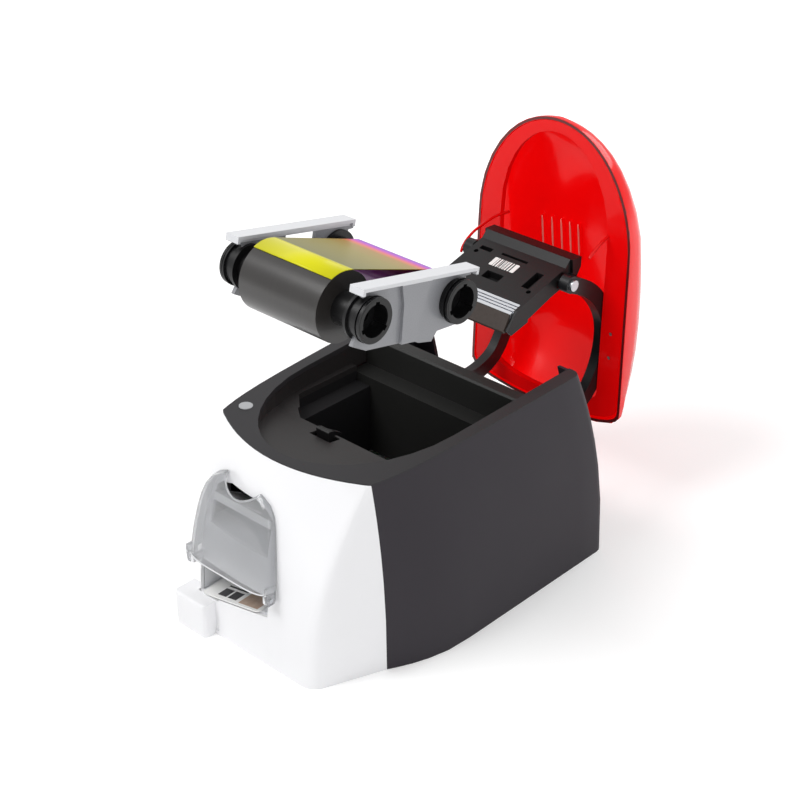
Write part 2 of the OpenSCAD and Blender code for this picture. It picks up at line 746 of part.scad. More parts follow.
module roller_shaft(at) {
    difference() {
        rod(-plate_x - plate_t - 1.6, gear_x + gear_w + 2.4, shaft_r, at);
        translate([gear_x + gear_w + 0.6, at[0] - 5, at[1] - 5]) difference() {
            cube([0.8, 10, 10]);
            rod(-1, 3, shaft_r - 0.6, [5, 5]);
        }
    }
}

module platen_shaft() color([0.78, 0.78, 0.8]) machine() {
    roller_shaft(platen_at);
}

module platen_rubber() color([0.12, 0.12, 0.13]) machine() {
    tube_x(-31, 31, platen_r, shaft_r, platen_at);
}

module platen_gear() color([0.9, 0.9, 0.86]) machine() {
    spur_gear(platen_teeth, platen_at, 0, shaft_r);
}

module feed_shaft() color([0.78, 0.78, 0.8]) machine() {
    roller_shaft(feed_at);
}

module feed_tyre() color([0.2, 0.2, 0.22]) machine() {
    tube_x(path_x - 12, path_x + 12, feed_r, shaft_r, feed_at);
}

module feed_gear() color([0.9, 0.9, 0.86]) machine() {
    spur_gear(feed_teeth, feed_at, turn_f, shaft_r);
}

module idler_gear_rear() color([0.9, 0.9, 0.86]) machine() {
    spur_gear(idler_teeth, idler_a_at, turn_a, 2 + fit);
}

module idler_gear_front() color([0.9, 0.9, 0.86]) machine() {
    spur_gear(idler_teeth, idler_b_at, turn_b, 2 + fit);
}

module idler_gear_small() color([0.9, 0.9, 0.86]) machine() {
    spur_gear(small_teeth, idler_c_at, turn_c, 2 + fit);
}

module idler_studs() color([0.75, 0.76, 0.77]) machine() {
    for (p = [idler_a_at, idler_b_at, idler_c_at]) {
        rod(plate_x + plate_t, gear_x + gear_w + 1.2, 2, p);
        rod(plate_x + plate_t, gear_x - 0.15, 3.6, p);
    }
}

module motor_pinion() color([0.78, 0.68, 0.42]) machine() {
    spur_gear(pinion_teeth, pinion_at, turn_p, 1.4);
    rod(plate_x - 3.9, gear_x + gear_w + 1, 1.5, pinion_at);
}

// Can motor on the inner face of the right side plate
module drive_motor() color([0.45, 0.46, 0.48]) machine() {
    difference() {
        union() {
            rod(18, plate_x, 13.5, pinion_at);
            rod(14, 19, 5, pinion_at);
        }
        rod(plate_x - 4, plate_x + 1, 1.5 + fit, pinion_at);
        for (p = motor_screws) rod(plate_x - 4, plate_x + 1, 1.1, p);
    }
}

// Control board on posts at the back, with its two sockets
module small_screws() color([0.6, 0.6, 0.62]) machine() {
    for (p = board_posts) {
        translate([p.x, p.y, 5]) cylinder(h = 6.8, r = 1.23);
        translate([p.x, p.y, 11.6]) cylinder(h = 1.6, r = 2.4);
    }
    for (p = button_screws) {
        translate([p.x, p.y, 120.2]) cylinder(h = 12.6, r = 0.8);
        translate([p.x, p.y, 119.6]) cylinder(h = 1.3, r = 1.7);
    }
}

module circuit_board() color([0.1, 0.32, 0.16]) machine() {
    difference() {
        translate([-48, 145, 10]) cube([96, 51, 1.6]);
        for (p = board_posts) translate([p.x, p.y, 5]) cylinder(h = 10, r = 1.3);
    }
    for (q = [[-20, 165, 14, 14], [6, 172, 10, 10], [-38, 170, 8, 6]]) {
        translate([q[0], q[1], 11.6]) cube([q[2], q[3], 2.2]);
    }
}

module usb_socket() color([0.75, 0.75, 0.76]) machine() {
    difference() {
        translate([20, 187, 11.65]) cube([12, 16.2, 11.4]);
        translate([20.8, 190, 12.6]) cube([10.4, 20, 9.5]);
    }
    translate([23.4, 189, 14.6]) cube([5.2, 12.4, 3.2]);
}

module power_socket() color([0.1, 0.1, 0.1]) machine() {
    difference() {
        union() {
            translate([-31, 188, 18]) rotate([-90, 0, 0]) cylinder(h = 15.2, r = 5.2);
            translate([-36, 186, 11.65]) cube([10, 9, 8]);
        }
        translate([-31, 192, 18]) rotate([-90, 0, 0]) cylinder(h = 14, r = 3.2);
    }
    translate([-31, 191, 18]) rotate([-90, 0, 0]) cylinder(h = 11, r = 1);
}

// Hub at the right of the well that turns the ribbon
hub_at = [66, 96];

module ribbon_hub() color([0.08, 0.08, 0.08]) machine() {
    rod(36, plate_x + plate_t + 1, shaft_r, hub_at);
    difference() {
        rod(38, 47.6, 8.6, hub_at);
        rod(30, 39, 6.6, hub_at);
        for (a = [0:60:300]) {
            rod(36, 47, 1.2, hub_at + 8.4 * [cos(a), sin(a)]);
        }
    }
}

// Cover: half width and height over the rim at distance s from the nose
cover_nose = -11.4;
cover_top = 47.3;
rim_end = cover_nose + cover_len - 12.6;
cover_ss = [0.03, 0.5, 1.6, 3.6, 7, 12, 19, 28, 40, 55, 72, 92, 114, 136, 156, 172, 184, 193, 200,
    205.5, 209.4, 211.8, 212.9];
cover_rise = [[0, 4], [3, 9.2], [7, 13.6], [12, 17.6], [19, 21.8], [28, 25.6], [40, 29.6],
    [55, 34], [72, 38.6], [92, 43], [114, 46.5], [136, cover_top], [156, 44.6], [172, 38.2],
    [184, 31], [193, 24], [200, 17.6], [205.5, 11.6], [209.4, 7], [211.8, 4.6], [213, 3.6]];

function tail_round(s, total, r) = let (v = max(0, (s - total + r) / r))
    pow(max(0, 1 - pow(v, 2.4)), 1 / 2.2);

function cover_w(s) = let (v = min(1, s / 84.7))
    (cover_half_w * sqrt(1 - (1 - v) * (1 - v)) + 0.012 * max(0, s - 84.7)) * tail_round(s, cover_len, 15);

function section_pt(w, h, a) = [w * sign(cos(a)) * pow(abs(cos(a)), 0.84), h * pow(sin(a), 0.84)];

// Closed dome over the rim plane, shrunk all round by d
module cover_dome(d) {
    m = 17;
    n = len(cover_ss);
    kx = (cover_half_w - d) / cover_half_w;
    ky = (cover_len - 2 * d) / cover_len;
    kz = (cover_top - d) / cover_top;
    drop = d > 0 ? 1 : 0;
    pts = [for (s = cover_ss) for (j = [0:m - 1])
        let (q = section_pt(cover_w(s) * kx, lookup(s, cover_rise) * kz, 180 * j / (m - 1)))
        [q.x, cover_nose + d + s * ky, j == 0 || j == m - 1 ? -drop : max(q.y, 0.3)]];
    skin = [for (i = [0:n - 2]) for (j = [0:m - 1])
        let (a = i * m + j, b = i * m + (j + 1) % m, c = b + m, e = a + m)
        each [[a, b, c], [a, c, e]]];
    ends = [for (j = [1:m - 2]) let (z = (n - 1) * m)
        each [[0, j + 1, j], [z, z + j, z + j + 1]]];
    polyhedron(points = pts, faces = concat(skin, ends));
}

// Translucent outer shell of the cover
module cover_shell() color([0.85, 0.05, 0.05, 0.8]) machine() swing() on_rim() {
    difference() {
        cover_dome(0);
        cover_dome(cover_t);
    }
    intersection() {
        difference() {
            cover_dome(cover_t - 0.1);
            cover_dome(cover_t + 3);
        }
        for (i = [0:4]) translate([-35.4 + 7.1 * i, 77, 4]) cube([1.1, 27, 60]);
    }
}

// Flat plate round the inside of the rim; its oval opening clears the arms
function rim_side(w, y0, y1, lead, tail) = let (n = y1 - y0)
    concat(
        [for (s = [0, 0.4, 1.4, 3.2, 6, 10, 16, 24, 36, 52, 70, 100])
            let (v = min(1, s / lead)) [w * sqrt(1 - (1 - v) * (1 - v)), y0 + s]],
        [for (i = [0:9]) let (s = n - tail + tail * sin(9 * i)) [w * tail_round(s, n, tail), y0 + s]]);

function rim_oval(w, y0, y1, lead, tail) = let (p = rim_side(w, y0, y1, lead, tail))
    concat(p, [for (i = [len(p) - 1:-1:0]) [-p[i].x, p[i].y]]);

module cover_rim_plate() color([0.72, 0.03, 0.04, 0.8]) machine() swing() on_rim() {
    difference() {
        union() {
            translate([0, 0, 0.3]) linear_extrude(1.6) polygon(
                rim_oval(cover_half_w - cover_t - 0.25, cover_nose + cover_t + 0.5,
                    cover_nose + cover_len - cover_t - 1.6, 84, 15));
            translate([0, 0, 1.9]) linear_extrude(2.6) polygon(
                rim_oval(cover_half_w - rim_plate_w + 1.6, cover_nose + 8.4, rim_end + 1.6, 66, 15));
        }
        translate([0, 0, -1]) linear_extrude(9) polygon(
            rim_oval(cover_half_w - rim_plate_w, cover_nose + 10, rim_end, 66, 14));
        for (s = [-1, 1]) for (y = [128, 146]) {
            translate([s * 54, y, -1]) cylinder(h = 5, r = 1.3);
        }
        for (s = [-1, 1]) {
            translate([s > 0 ? 42.6 : -60.6, 120.6, 1.9]) cube([18, 34.8, 6]);
        }
    }
}

arm_path = [[185, 84], [184.6, 100], [182.4, 118], [174.5, 134.5], [158, 145], [139, 149], [120, 146.4],
    [103, 135.6], [91.6, 121.4], [84, 105]];

arm_w = 7;

// Goose-necked arm from the hinge to the print head
module head_arm(s) {
    x0 = s > 0 ? 38 : -38 - arm_w;
    difference() {
        union() {
            across(x0, arm_w) polygon(path_band(smooth_path(arm_path, 4), 5.6));
            rod(x0 - 0.6, x0 + arm_w + 0.6, 7, [hinge_y, hinge_z]);
            rod(x0, x0 + arm_w, 6, pivot_at);
            on_rim() translate([s > 0 ? 44.8 : -60.2, 121, 2]) cube([15.4, 34, 2.4]);
            on_rim() translate([s > 0 ? 44.8 : -48.2, 121, 3]) cube([3.4, 34, 5]);
        }
        rod(x0 - 1, x0 + arm_w + 2, hinge_pin_r + fit, [hinge_y, hinge_z]);
        rod(x0 - 1, x0 + arm_w + 2, 2.02, pivot_at);
        for (y = [128, 146]) on_rim() {
            translate([s * 54, y, -1]) cylinder(h = 8, r = 1.3);
        }
    }
}

module head_arm_left() color([0.1, 0.1, 0.11]) machine() swing() head_arm(-1);

module head_arm_right() color([0.1, 0.1, 0.11]) machine() swing() head_arm(1);

// Screws that hold the arms to the rim plate and the head to the arms
module arm_screws() color([0.55, 0.56, 0.58]) machine() swing() {
    for (s = [-1, 1]) for (y = [128, 146]) on_rim() {
        translate([s * 54, y, 0.5]) cylinder(h = 4, r = 1.26);
        translate([s * 54, y, 4.4]) cylinder(h = 1.4, r = 2.5);
    }
    for (s = [-1, 1]) mirror([s < 0 ? 1 : 0, 0, 0]) {
        rod(29, 38.1 + arm_w, 2, pivot_at);
        rod(38.05 + arm_w, 40 + arm_w, 3.8, pivot_at);
    }
}

module hinge_pin() color([0.75, 0.76, 0.78]) machine() {
    rod(-plate_x - plate_t - 1, plate_x + plate_t + 1, hinge_pin_r, [hinge_y, hinge_z]);
}

// Black frame of the print head, with slots, holes and a sensor window
module head_frame() color([0.1, 0.1, 0.11]) machine() swing() {
    difference() {
        union() {
            across(-36, 72) polygon([[75.8, 108], [89.4, 66], [93, 66], [101.6, 70.6],
                [92.4, 94.8], [88.4, 108.4], [80, 113.8], [70.8, 112.6]]);
            for (x = [-36, 34]) across(x, 2) polygon([[88, 70], [91.4, 60], [103.4, 51.2],
                [107.6, 55.8], [103, 72]]);
        }
        across(-33.9, 67.8) polygon([[88, 61], [89.4, 66.05], [93, 66.05], [101.6, 70.6],
            [112, 72], [112, 40], [88, 40]]);
        head_window(-9, 14, 76, 83);
        head_window(22, 6, 80, 96);
        head_window(-30, 10, 98, 101.6);
        head_window(-12, 22, 99.6, 101.6);
        for (q = [[-30, 92], [30, 73]]) translate([q[0], 0, 0]) {
            translate([0, 70, q[1]]) rotate([-72, 0, 0]) cylinder(h = 40, r = 1.7);
        }
        rod(-40, -28, 2.02, pivot_at);
        rod(28, 40, 2.02, pivot_at);
    }
}

// Pocket of width w in the front face of the head between two heights
module head_window(x, w, z0, z1) {
    across(x, w) polygon([for (q = [[0, z0], [6, z0 + 1], [6, z1 + 1], [0, z1]])
        [75.8 + (108 - q[1]) * 0.324 - 0.6 + q[0], q[1]]]);
}

// Ribbed heat sink above the printing edge
module heat_sink() color([0.72, 0.72, 0.74]) machine() swing() {
    difference() {
        across(-33.7, 67.4) polygon([[89.7, 65.8], [93.3, 55.9], [105.4, 54.4], [106.4, 57],
            [101.6, 70.3], [93.1, 65.8]]);
        for (z = [58.2, 60.6, 63]) {
            across(-34, 68) polygon([for (q = [[-1, 0], [1.2, 0], [1.2, 0.9], [-1, 0.9]])
                [89.7 + (65.8 - z) * 0.364 + q[0], z + q[1]]]);
        }
    }
}

module print_edge() color([0.15, 0.13, 0.12]) machine() swing() {
    across(-33.7, 67.4) polygon([[93.4, 55.6], [103.6, 49.7], [104.9, 49.9], [105.4, 54.2]]);
}

// Bar across the top of the head, between the two arms
module head_bar() color([0.14, 0.14, 0.15]) machine() swing() {
    across(-37.8, 75.6) polygon([[70.9, 113], [80, 114.1], [88.5, 108.8], [90.4, 111.6],
        [84, 118.6], [78, 122.4], [70.9, 122.4]]);
}

// Cassette frame: +Y runs from the front spool to the rear one
module cassette() {
    translate([49.5, -0.65, 262.65]) rotate([-cassette_tilt, 0, 0]) children();
}

front_spool = [-35.35, 0];
rear_spool = [35.35, 0];

// Side flange with an open round seat for each spool end
module flange(s) {
    x0 = s > 0 ? flange_half - 1.2 : -flange_half - 1.2;
    difference() {
        union() {
            across(x0, 2.4) polygon([[-46, 15], [-44, 18.4], [44, 18.4], [47, 15], [47.6, 12.6],
                [43.4, 12.3], [42.6, -11.2], [49, -12.8], [49.4, -15], [25.2, -17.4],
                [21.6, -23], [10.6, -22], [4.2, -19.6], [-32, -19.4], [-43.4, -15.4],
                [-41.4, -11], [-39.6, 12.6], [-44.6, 13.4]]);
            translate([s > 0 ? flange_half - 3 : -flange_half - 7, -46.6, 16.6]) cassette_wing();
            across(s > 0 ? flange_half - 0.6 : -flange_half - 3.4, 4) polygon([[-13, 17.6],
                [13, 17.6], [8.6, 4], [6, -19.6], [-6, -19.6], [-8.6, 4]]);
        }
        rod(-60, 60, neck_r + fit, front_spool);
        rod(-60, 60, neck_r + fit, rear_spool);
        if (s < 0) {
            translate([-60, -8, 9.6]) cube([60, 24, 5]);
        }
    }
}

neck_r = hub_r - 0.8;

module cassette_wing() {
    cube([10, 93.4, 2]);
    translate([0, 0, -2.2]) cube([10, 2, 3]);
    translate([0, 91.4, -2.2]) cube([10, 2, 3]);
}

module cassette_flange_left() color([0.66, 0.67, 0.7]) machine() cassette() flange(-1);

module cassette_flange_right() color([0.66, 0.67, 0.7]) machine() cassette() flange(1);

// Cross bar that joins the two flanges under the film
module cassette_bar() color([0.6, 0.61, 0.64]) machine() cassette() {
    translate([-flange_half + 1.2, -4, -18.6]) cube([2 * flange_half - 2.4, 12, 2.4]);
    translate([-flange_half + 1.2, 0.8, -18.6]) cube([2 * flange_half - 2.4, 2.4, 6]);
}

// Spool end: grooved collar, neck in the flange seat, and hollow drive mouth
module spool_end(at) {
    difference() {
        union() {
            rod(flange_half - 3.2, flange_half - 1.4, hub_r + 0.8, at);
            rod(flange_half - 3.2, flange_half + 8, neck_r, at);
            rod(flange_half + 4.4, flange_half + 5.4, hub_r + 0.6, at);
            rod(flange_half + 6.2, flange_half + 7.9, hub_r + 0.3, at);
            rod(film_w / 2 + 0.05, flange_half - 3, 9.4, at);
        }
        rod(flange_half - 2, flange_half + 9, 9.4, at);
        rod(film_w / 2 - 1, flange_half, 5, at);
        translate([flange_half - 1, at[0], at[1]]) for (a = [0, 120, 240]) {
            rotate([a, 0, 0]) translate([0, -1.5, 8]) cube([10, 3, 2.6]);
        }
    }
}

module spool_core(at) {
    difference() {
        union() {
            tube_x(-flange_half + 3.1, flange_half - 3.1, 8, 5, at);
            spool_end(at);
            mirror([1, 0, 0]) spool_end(at);
        }
        rod(-flange_half - 9, flange_half + 9, 5, at);
    }
}

module supply_core() color([0.07, 0.07, 0.07]) machine() cassette() {
    spool_core(front_spool);
}

module takeup_core() color([0.07, 0.07, 0.07]) machine() cassette() {
    spool_core(rear_spool);
}

module supply_roll() color([0.2, 0.19, 0.18]) machine() cassette() {
    tube_x(-film_w / 2, film_w / 2, supply_r, 8, front_spool);
}

module takeup_roll() color([0.35, 0.1, 0.4]) machine() cassette() {
    tube_x(-film_w / 2, film_w / 2, takeup_r, 8, rear_spool);
}

// Stretch of colour film between the two rolls
film_t = 0.4;
film_lift = 0.25;
film_dip = asin((supply_r - takeup_r) / spool_pitch);

module film_web() color([0.8, 0.75, 0.1, 0.9]) machine() cassette() {
    n = [sin(film_dip), cos(film_dip)];
    across(-film_w / 2, film_w) polygon([
        front_spool + (supply_r + film_lift) * n,
        rear_spool + (takeup_r + film_lift) * n,
        rear_spool + (takeup_r + film_lift + film_t) * n,
        front_spool + (supply_r + film_lift + film_t) * n]);
}

front_cover();
side_shell();
deck_frame();
base_tray();
rubber_feet();
well_liner();
rear_shelf();
chassis_left();
chassis_right();
tie_rods();
frame_screws();
bushings();
bin_liner();
printed_card();
feeder_tray();
blank_cards();
hopper_lid();
lid_pins();
power_button();
button_seat();
button_switch();
small_screws();
sensor_bracket();
sensor_lever();
platen_shaft();
platen_rubber();
platen_gear();
feed_shaft();
feed_tyre();
feed_gear();
idler_gear_rear();
idler_gear_front();
idler_gear_small();
idler_studs();
motor_pinion();
drive_motor();
circuit_board();
usb_socket();
power_socket();
ribbon_hub();
cover_shell();
cover_rim_plate();
head_arm_left();
head_arm_right();
arm_screws();
hinge_pin();
head_frame();
heat_sink();
print_edge();
head_bar();
cassette_flange_left();
cassette_flange_right();
cassette_bar();
supply_core();
supply_roll();
takeup_core();
takeup_roll();
film_web();
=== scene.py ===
# %% [markdown]
# # A desktop card printer with its cover open
# The solids of the printer come from a CAD model, already in their places and
# in metres. Blender's part of the work is the look: light, camera, finishes,
# and the thin details that a solid model leaves out. Loading the frame first
# means that everything below is built in the same coordinates as the solids.

# %% Load the solids
import math
import bmesh
import bpy
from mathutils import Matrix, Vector


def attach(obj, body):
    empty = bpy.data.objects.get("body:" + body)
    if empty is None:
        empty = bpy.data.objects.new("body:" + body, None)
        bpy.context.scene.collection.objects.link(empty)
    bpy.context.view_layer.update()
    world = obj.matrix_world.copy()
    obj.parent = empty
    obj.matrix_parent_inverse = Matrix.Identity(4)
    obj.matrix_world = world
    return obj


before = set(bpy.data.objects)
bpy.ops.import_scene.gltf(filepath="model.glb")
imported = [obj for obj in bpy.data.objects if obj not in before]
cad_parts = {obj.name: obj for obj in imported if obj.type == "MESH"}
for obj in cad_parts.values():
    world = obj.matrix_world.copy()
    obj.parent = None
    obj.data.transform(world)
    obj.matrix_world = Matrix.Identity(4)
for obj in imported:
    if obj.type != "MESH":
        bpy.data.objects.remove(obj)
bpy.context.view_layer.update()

MM = 0.001

# %% [markdown]
# ## Camera
# The camera stands where the photograph was taken from. Its place, turn and
# lens were found by matching corners of the printer that lie on known planes:
# the deck, the table and the side walls. A lens of about 80 mm keeps the
# perspective gentle, as in most product pictures.

# %% Camera
AZIMUTH, ELEVATION = math.radians(43.067), math.radians(29.604)
CAMERA_AT = (0.6806, -0.7163, 0.6951)
FOCAL_PIXELS, PICTURE_PIXELS = 1787.0, 800.0
SENSOR_WIDTH = 36.0
lens = bpy.data.cameras.new("camera")
lens.sensor_fit = "HORIZONTAL"
lens.sensor_width = SENSOR_WIDTH
lens.lens = FOCAL_PIXELS / PICTURE_PIXELS * SENSOR_WIDTH
camera = bpy.data.objects.new("camera", lens)
camera.location = CAMERA_AT
camera.rotation_euler = (math.pi / 2 - ELEVATION, 0.0, AZIMUTH)
bpy.context.collection.objects.link(camera)
bpy.context.scene.camera = camera
print("camera at", tuple(camera.location), "lens", round(lens.lens, 1))

# %% [markdown]
# ## Places on the printer
# The CAD works in millimetres from the middle of the front edge. These helpers
# turn such a point into the scene's metres. The cover was drawn shut, so a
# point on its rim is first tilted with the deck, then swung open round the
# hinge, the same way as the solids were. The ribbon cassette has a tilt of its
# own, down to the rear.

# %% From drawing to scene
FRONT_SHIFT = 82.0
OPEN = math.radians(92.63)
DECK_TILT = math.atan(0.028)
RIM_HEIGHT = 136.26
HINGE_Y, HINGE_Z = 185.0, 84.0
CASSETTE_TILT = math.radians(11.6)


def at_machine(x, y, z):
    return Vector((x, y - FRONT_SHIFT, z)) * MM


def at_swung(x, y, z):
    dy, dz = y - HINGE_Y, z - HINGE_Z
    return at_machine(x, HINGE_Y + dy * math.cos(OPEN) + dz * math.sin(OPEN),
                      HINGE_Z - dy * math.sin(OPEN) + dz * math.cos(OPEN))


def at_rim(x, y, z):
    return at_swung(x, y * math.cos(DECK_TILT) - z * math.sin(DECK_TILT),
                    y * math.sin(DECK_TILT) + z * math.cos(DECK_TILT) + RIM_HEIGHT)


CASSETTE_AT = at_machine(49.5, -0.65, 262.65)


def at_cassette(x, y, z):
    c, s = math.cos(CASSETTE_TILT), math.sin(CASSETTE_TILT)
    return Vector((x, y * c + z * s, z * c - y * s)) * MM + CASSETTE_AT


print("middle of the cover's hinge:", [round(v, 4) for v in at_machine(0, HINGE_Y, HINGE_Z)])
print("middle of the cassette:", [round(v, 4) for v in CASSETTE_AT])

# %% [markdown]
# ## Shader arithmetic
# A material is a graph of nodes, but most of what it says is arithmetic:
# this mask times that strength, one minus the other. The Wire class lets a
# socket stand in a Python expression, and each operator adds its node. Values
# go through Math nodes. Vectors go through Vector Math, and colours through
# Mix, because a Math node would turn a colour grey.

# %% Wires
class Wire:
    """One output socket of a node tree that can stand in an expression."""

    def __init__(self, graph, socket):
        self.graph = graph
        self.socket = socket

    def is_vector(self):
        return self.socket.type in {"VECTOR", "RGBA"}

    def join(self, operation, other, flipped=False):
        pair = [other, self] if flipped else [self, other]
        wide = any(isinstance(part, Wire) and part.is_vector() for part in pair)
        kind = "ShaderNodeVectorMath" if wide else "ShaderNodeMath"
        return self.graph.add(kind, {"operation": operation}, {0: pair[0], 1: pair[1]})

    def __add__(self, other):
        return self.join("ADD", other)

    def __radd__(self, other):
        return self.join("ADD", other, True)

    def __sub__(self, other):
        return self.join("SUBTRACT", other)

    def __rsub__(self, other):
        return self.join("SUBTRACT", other, True)

    def __mul__(self, other):
        return self.join("MULTIPLY", other)

    def __rmul__(self, other):
        return self.join("MULTIPLY", other, True)

    def __truediv__(self, other):
        return self.join("DIVIDE", other)

    def __rtruediv__(self, other):
        return self.join("DIVIDE", other, True)

    def __gt__(self, other):
        return self.join("GREATER_THAN", other)

    def __lt__(self, other):
        return self.join("LESS_THAN", other)


print("wires add, take away, multiply, divide and compare")

# %% [markdown]
# ## Node trees
# Materials, the world and geometry modifiers all hold node trees, so one class
# with one method makes every node. Settings are set first, because some of them
# change which sockets a node has. Then each socket gets a value or a link.

# %% Graphs
class Graph:
    """A node tree; add() makes any node in it."""

    def __init__(self, tree):
        self.tree = tree

    def connect(self, value, socket):
        if isinstance(value, Wire):
            self.tree.links.new(value.socket, socket)
        else:
            socket.default_value = value

    def add(self, kind, settings=None, inputs=None, output=0):
        node = self.tree.nodes.new(kind)
        for key, value in (settings or {}).items():
            if key == "stops":
                self.set_stops(node.color_ramp, value)
            else:
                setattr(node, key, value)
        for key, value in (inputs or {}).items():
            self.connect(value, node.inputs[key])
        return Wire(self, node.outputs[output]) if node.outputs else None

    def set_stops(self, ramp, stops):
        while len(ramp.elements) < len(stops):
            ramp.elements.new(0.5)
        for element, (place, shade) in zip(ramp.elements, stops):
            element.position = place
            element.color = (*shade, 1.0)


print("graph methods:", [name for name in vars(Graph) if not name.startswith("_")])

# %% [markdown]
# ## Finishes
# A finish is a material with Blender's general shader. Its constants are set
# when it is made; what changes over the surface is worked out with wires and
# fed to a socket. Noise in the object's own coordinates gives grain and patches
# that stay in place when a part moves.

# %% Finishes
class Finish(Graph):
    """A material with one main shader."""

    def __init__(self, name, colour, **constants):
        self.material = bpy.data.materials.new(name)
        self.material.use_nodes = True
        super().__init__(self.material.node_tree)
        self.shader = self.tree.nodes["Principled BSDF"]
        self.shader.inputs["Base Color"].default_value = (*colour, 1.0)
        for key, value in constants.items():
            self.shader.inputs[key.replace("_", " ")].default_value = value

    def place(self):
        return self.add("ShaderNodeTexCoord", output="Object")

    def axis(self, which):
        return self.add("ShaderNodeSeparateXYZ", inputs={0: self.place()}, output=which)

    def along(self, start, direction):
        """Distance in metres from the start in the given direction."""
        return self.add("ShaderNodeVectorMath", {"operation": "DOT_PRODUCT"},
                        {0: self.place() - tuple(start), 1: tuple(direction)}, output=1)

    def noise(self, scale, detail=2.0, stretch=None):
        where = self.place()
        if stretch:
            where = where * stretch
        return self.add("ShaderNodeTexNoise", inputs={"Vector": where, "Scale": scale, "Detail": detail})

    def blend(self, mask, first, second):
        return self.add("ShaderNodeMix", {"data_type": "RGBA"},
                        {"Factor": mask, 6: first, 7: second}, output=2)

    def feed(self, socket, wire):
        self.connect(wire, self.shader.inputs[socket])
        return self

    def grain(self, height, strength, distance):
        bump = self.add("ShaderNodeBump",
                        inputs={"Height": height, "Strength": strength, "Distance": distance})
        return self.feed("Normal", bump)


def rgb(red, green, blue):
    """Screen values from 0 to 255 as the linear light that a shader wants."""
    return tuple(c / 255 / 12.92 if c <= 10 else ((c / 255 + 0.055) / 1.055) ** 2.4
                 for c in (red, green, blue))


def rgba(red, green, blue):
    return (*rgb(red, green, blue), 1.0)


print("white test:", rgb(255, 255, 255))

# %% [markdown]
# ## Plastics of the housing
# The front is glossy white ABS: almost pure colour, a low roughness, and a
# very faint orange-peel waviness that breaks up reflections. The sides and the
# deck are spark-eroded dark grey: a dense grain well under a millimetre, which
# makes highlights broad. Grain is a bump from noise, since its depth is far
# below what a mesh could carry. Wear shows as slightly smoother patches.

# %% Housing plastics
SPARK_GRAIN = 2600.0
SPARK_DEPTH = 0.12 * MM
WEAR_PATCHES = 22.0


def gloss_white(name="gloss_white", shade=(236, 236, 238)):
    finish = Finish(name, rgb(*shade), Roughness=0.24, Coat_Weight=0.35, Coat_Roughness=0.08)
    finish.grain(finish.noise(220.0, 1.0), 0.05, 0.4 * MM)
    tint = finish.blend(finish.noise(14.0, 2.0), rgba(*shade), rgba(*(c - 4 for c in shade)))
    finish.feed("Base Color", tint)
    return finish.material


def textured_dark(name, shade, rough=0.5, grain=0.35):
    finish = Finish(name, rgb(*shade), Specular_IOR_Level=0.26)
    fine = finish.noise(SPARK_GRAIN, 3.0)
    broad = finish.noise(WEAR_PATCHES, 2.0)
    finish.grain(fine, grain, SPARK_DEPTH)
    lighter = rgba(*(c + 7 for c in shade))
    finish.feed("Base Color", finish.blend(broad * 0.5 + fine * 0.3, rgba(*shade), lighter))
    finish.feed("Roughness", rough + broad * 0.12 - 0.06)
    return finish.material


white_front = gloss_white()
white_inside = gloss_white("white_inside", (226, 227, 230))
side_grey = textured_dark("side_grey", (37, 33, 39), 0.52)
deck_grey = textured_dark("deck_grey", (36, 35, 37), 0.55)
shelf_grey = textured_dark("shelf_grey", (26, 26, 25), 0.48)
tray_black = textured_dark("tray_black", (20, 20, 22), 0.6)
print("housing plastics:", white_front.name, side_grey.name, deck_grey.name)

# %% [markdown]
# ## Lining of the ribbon well
# The well is lined in the same plastic, but its walls lie in shade and look
# almost black, while the flat floor behind the nose catches light and has a
# satin skin. One height above the table divides the two, so a comparison of
# the vertical coordinate is enough and the solid stays in one piece.

# %% Well lining
WELL_FLOOR = 119.0


def well_finish():
    finish = Finish("well_grey", rgb(14, 13, 15), Specular_IOR_Level=0.24)
    fine = finish.noise(SPARK_GRAIN, 3.0)
    upper = finish.axis(2) > WELL_FLOOR * MM
    walls = finish.blend(fine, rgba(11, 10, 12), rgba(17, 16, 18))
    finish.feed("Base Color", finish.blend(upper, walls, rgba(36, 34, 34)))
    finish.feed("Roughness", 0.6 - upper * 0.16 + fine * 0.08)
    finish.grain(fine, 0.3, SPARK_DEPTH)
    return finish.material


well_grey = well_finish()
print("well lining is lighter above", WELL_FLOOR, "mm")

# %% [markdown]
# ## Metals, rubber and small plastics
# Turned and rolled metals are anisotropic in life; here a noise stretched
# along the part stands for the tool marks, and drives a little roughness. The
# rubbers are dark and matt with a ground surface. Gears are milky acetal.

# %% Metals, rubber and small plastics
LONG_MARKS = (4.0, 900.0, 900.0)
ROLLED_MARKS = (60.0, 300.0, 20.0)


def metal(name, shade, rough, stretch=LONG_MARKS):
    finish = Finish(name, rgb(*shade), Metallic=1.0)
    marks = finish.noise(1.0, 3.0, stretch)
    finish.feed("Roughness", rough + marks * 0.22 - 0.08)
    finish.grain(marks, 0.12, 0.1 * MM)
    return finish.material


def soft_skin(name, shade, rough=0.62, scale=900.0, bump=0.2):
    finish = Finish(name, rgb(*shade), Specular_IOR_Level=0.28)
    fine = finish.noise(scale, 3.0)
    finish.feed("Roughness", rough + fine * 0.2 - 0.1)
    finish.feed("Base Color", finish.blend(fine, rgba(*shade), rgba(*(c + 9 for c in shade))))
    finish.grain(fine, bump, 0.15 * MM)
    return finish.material


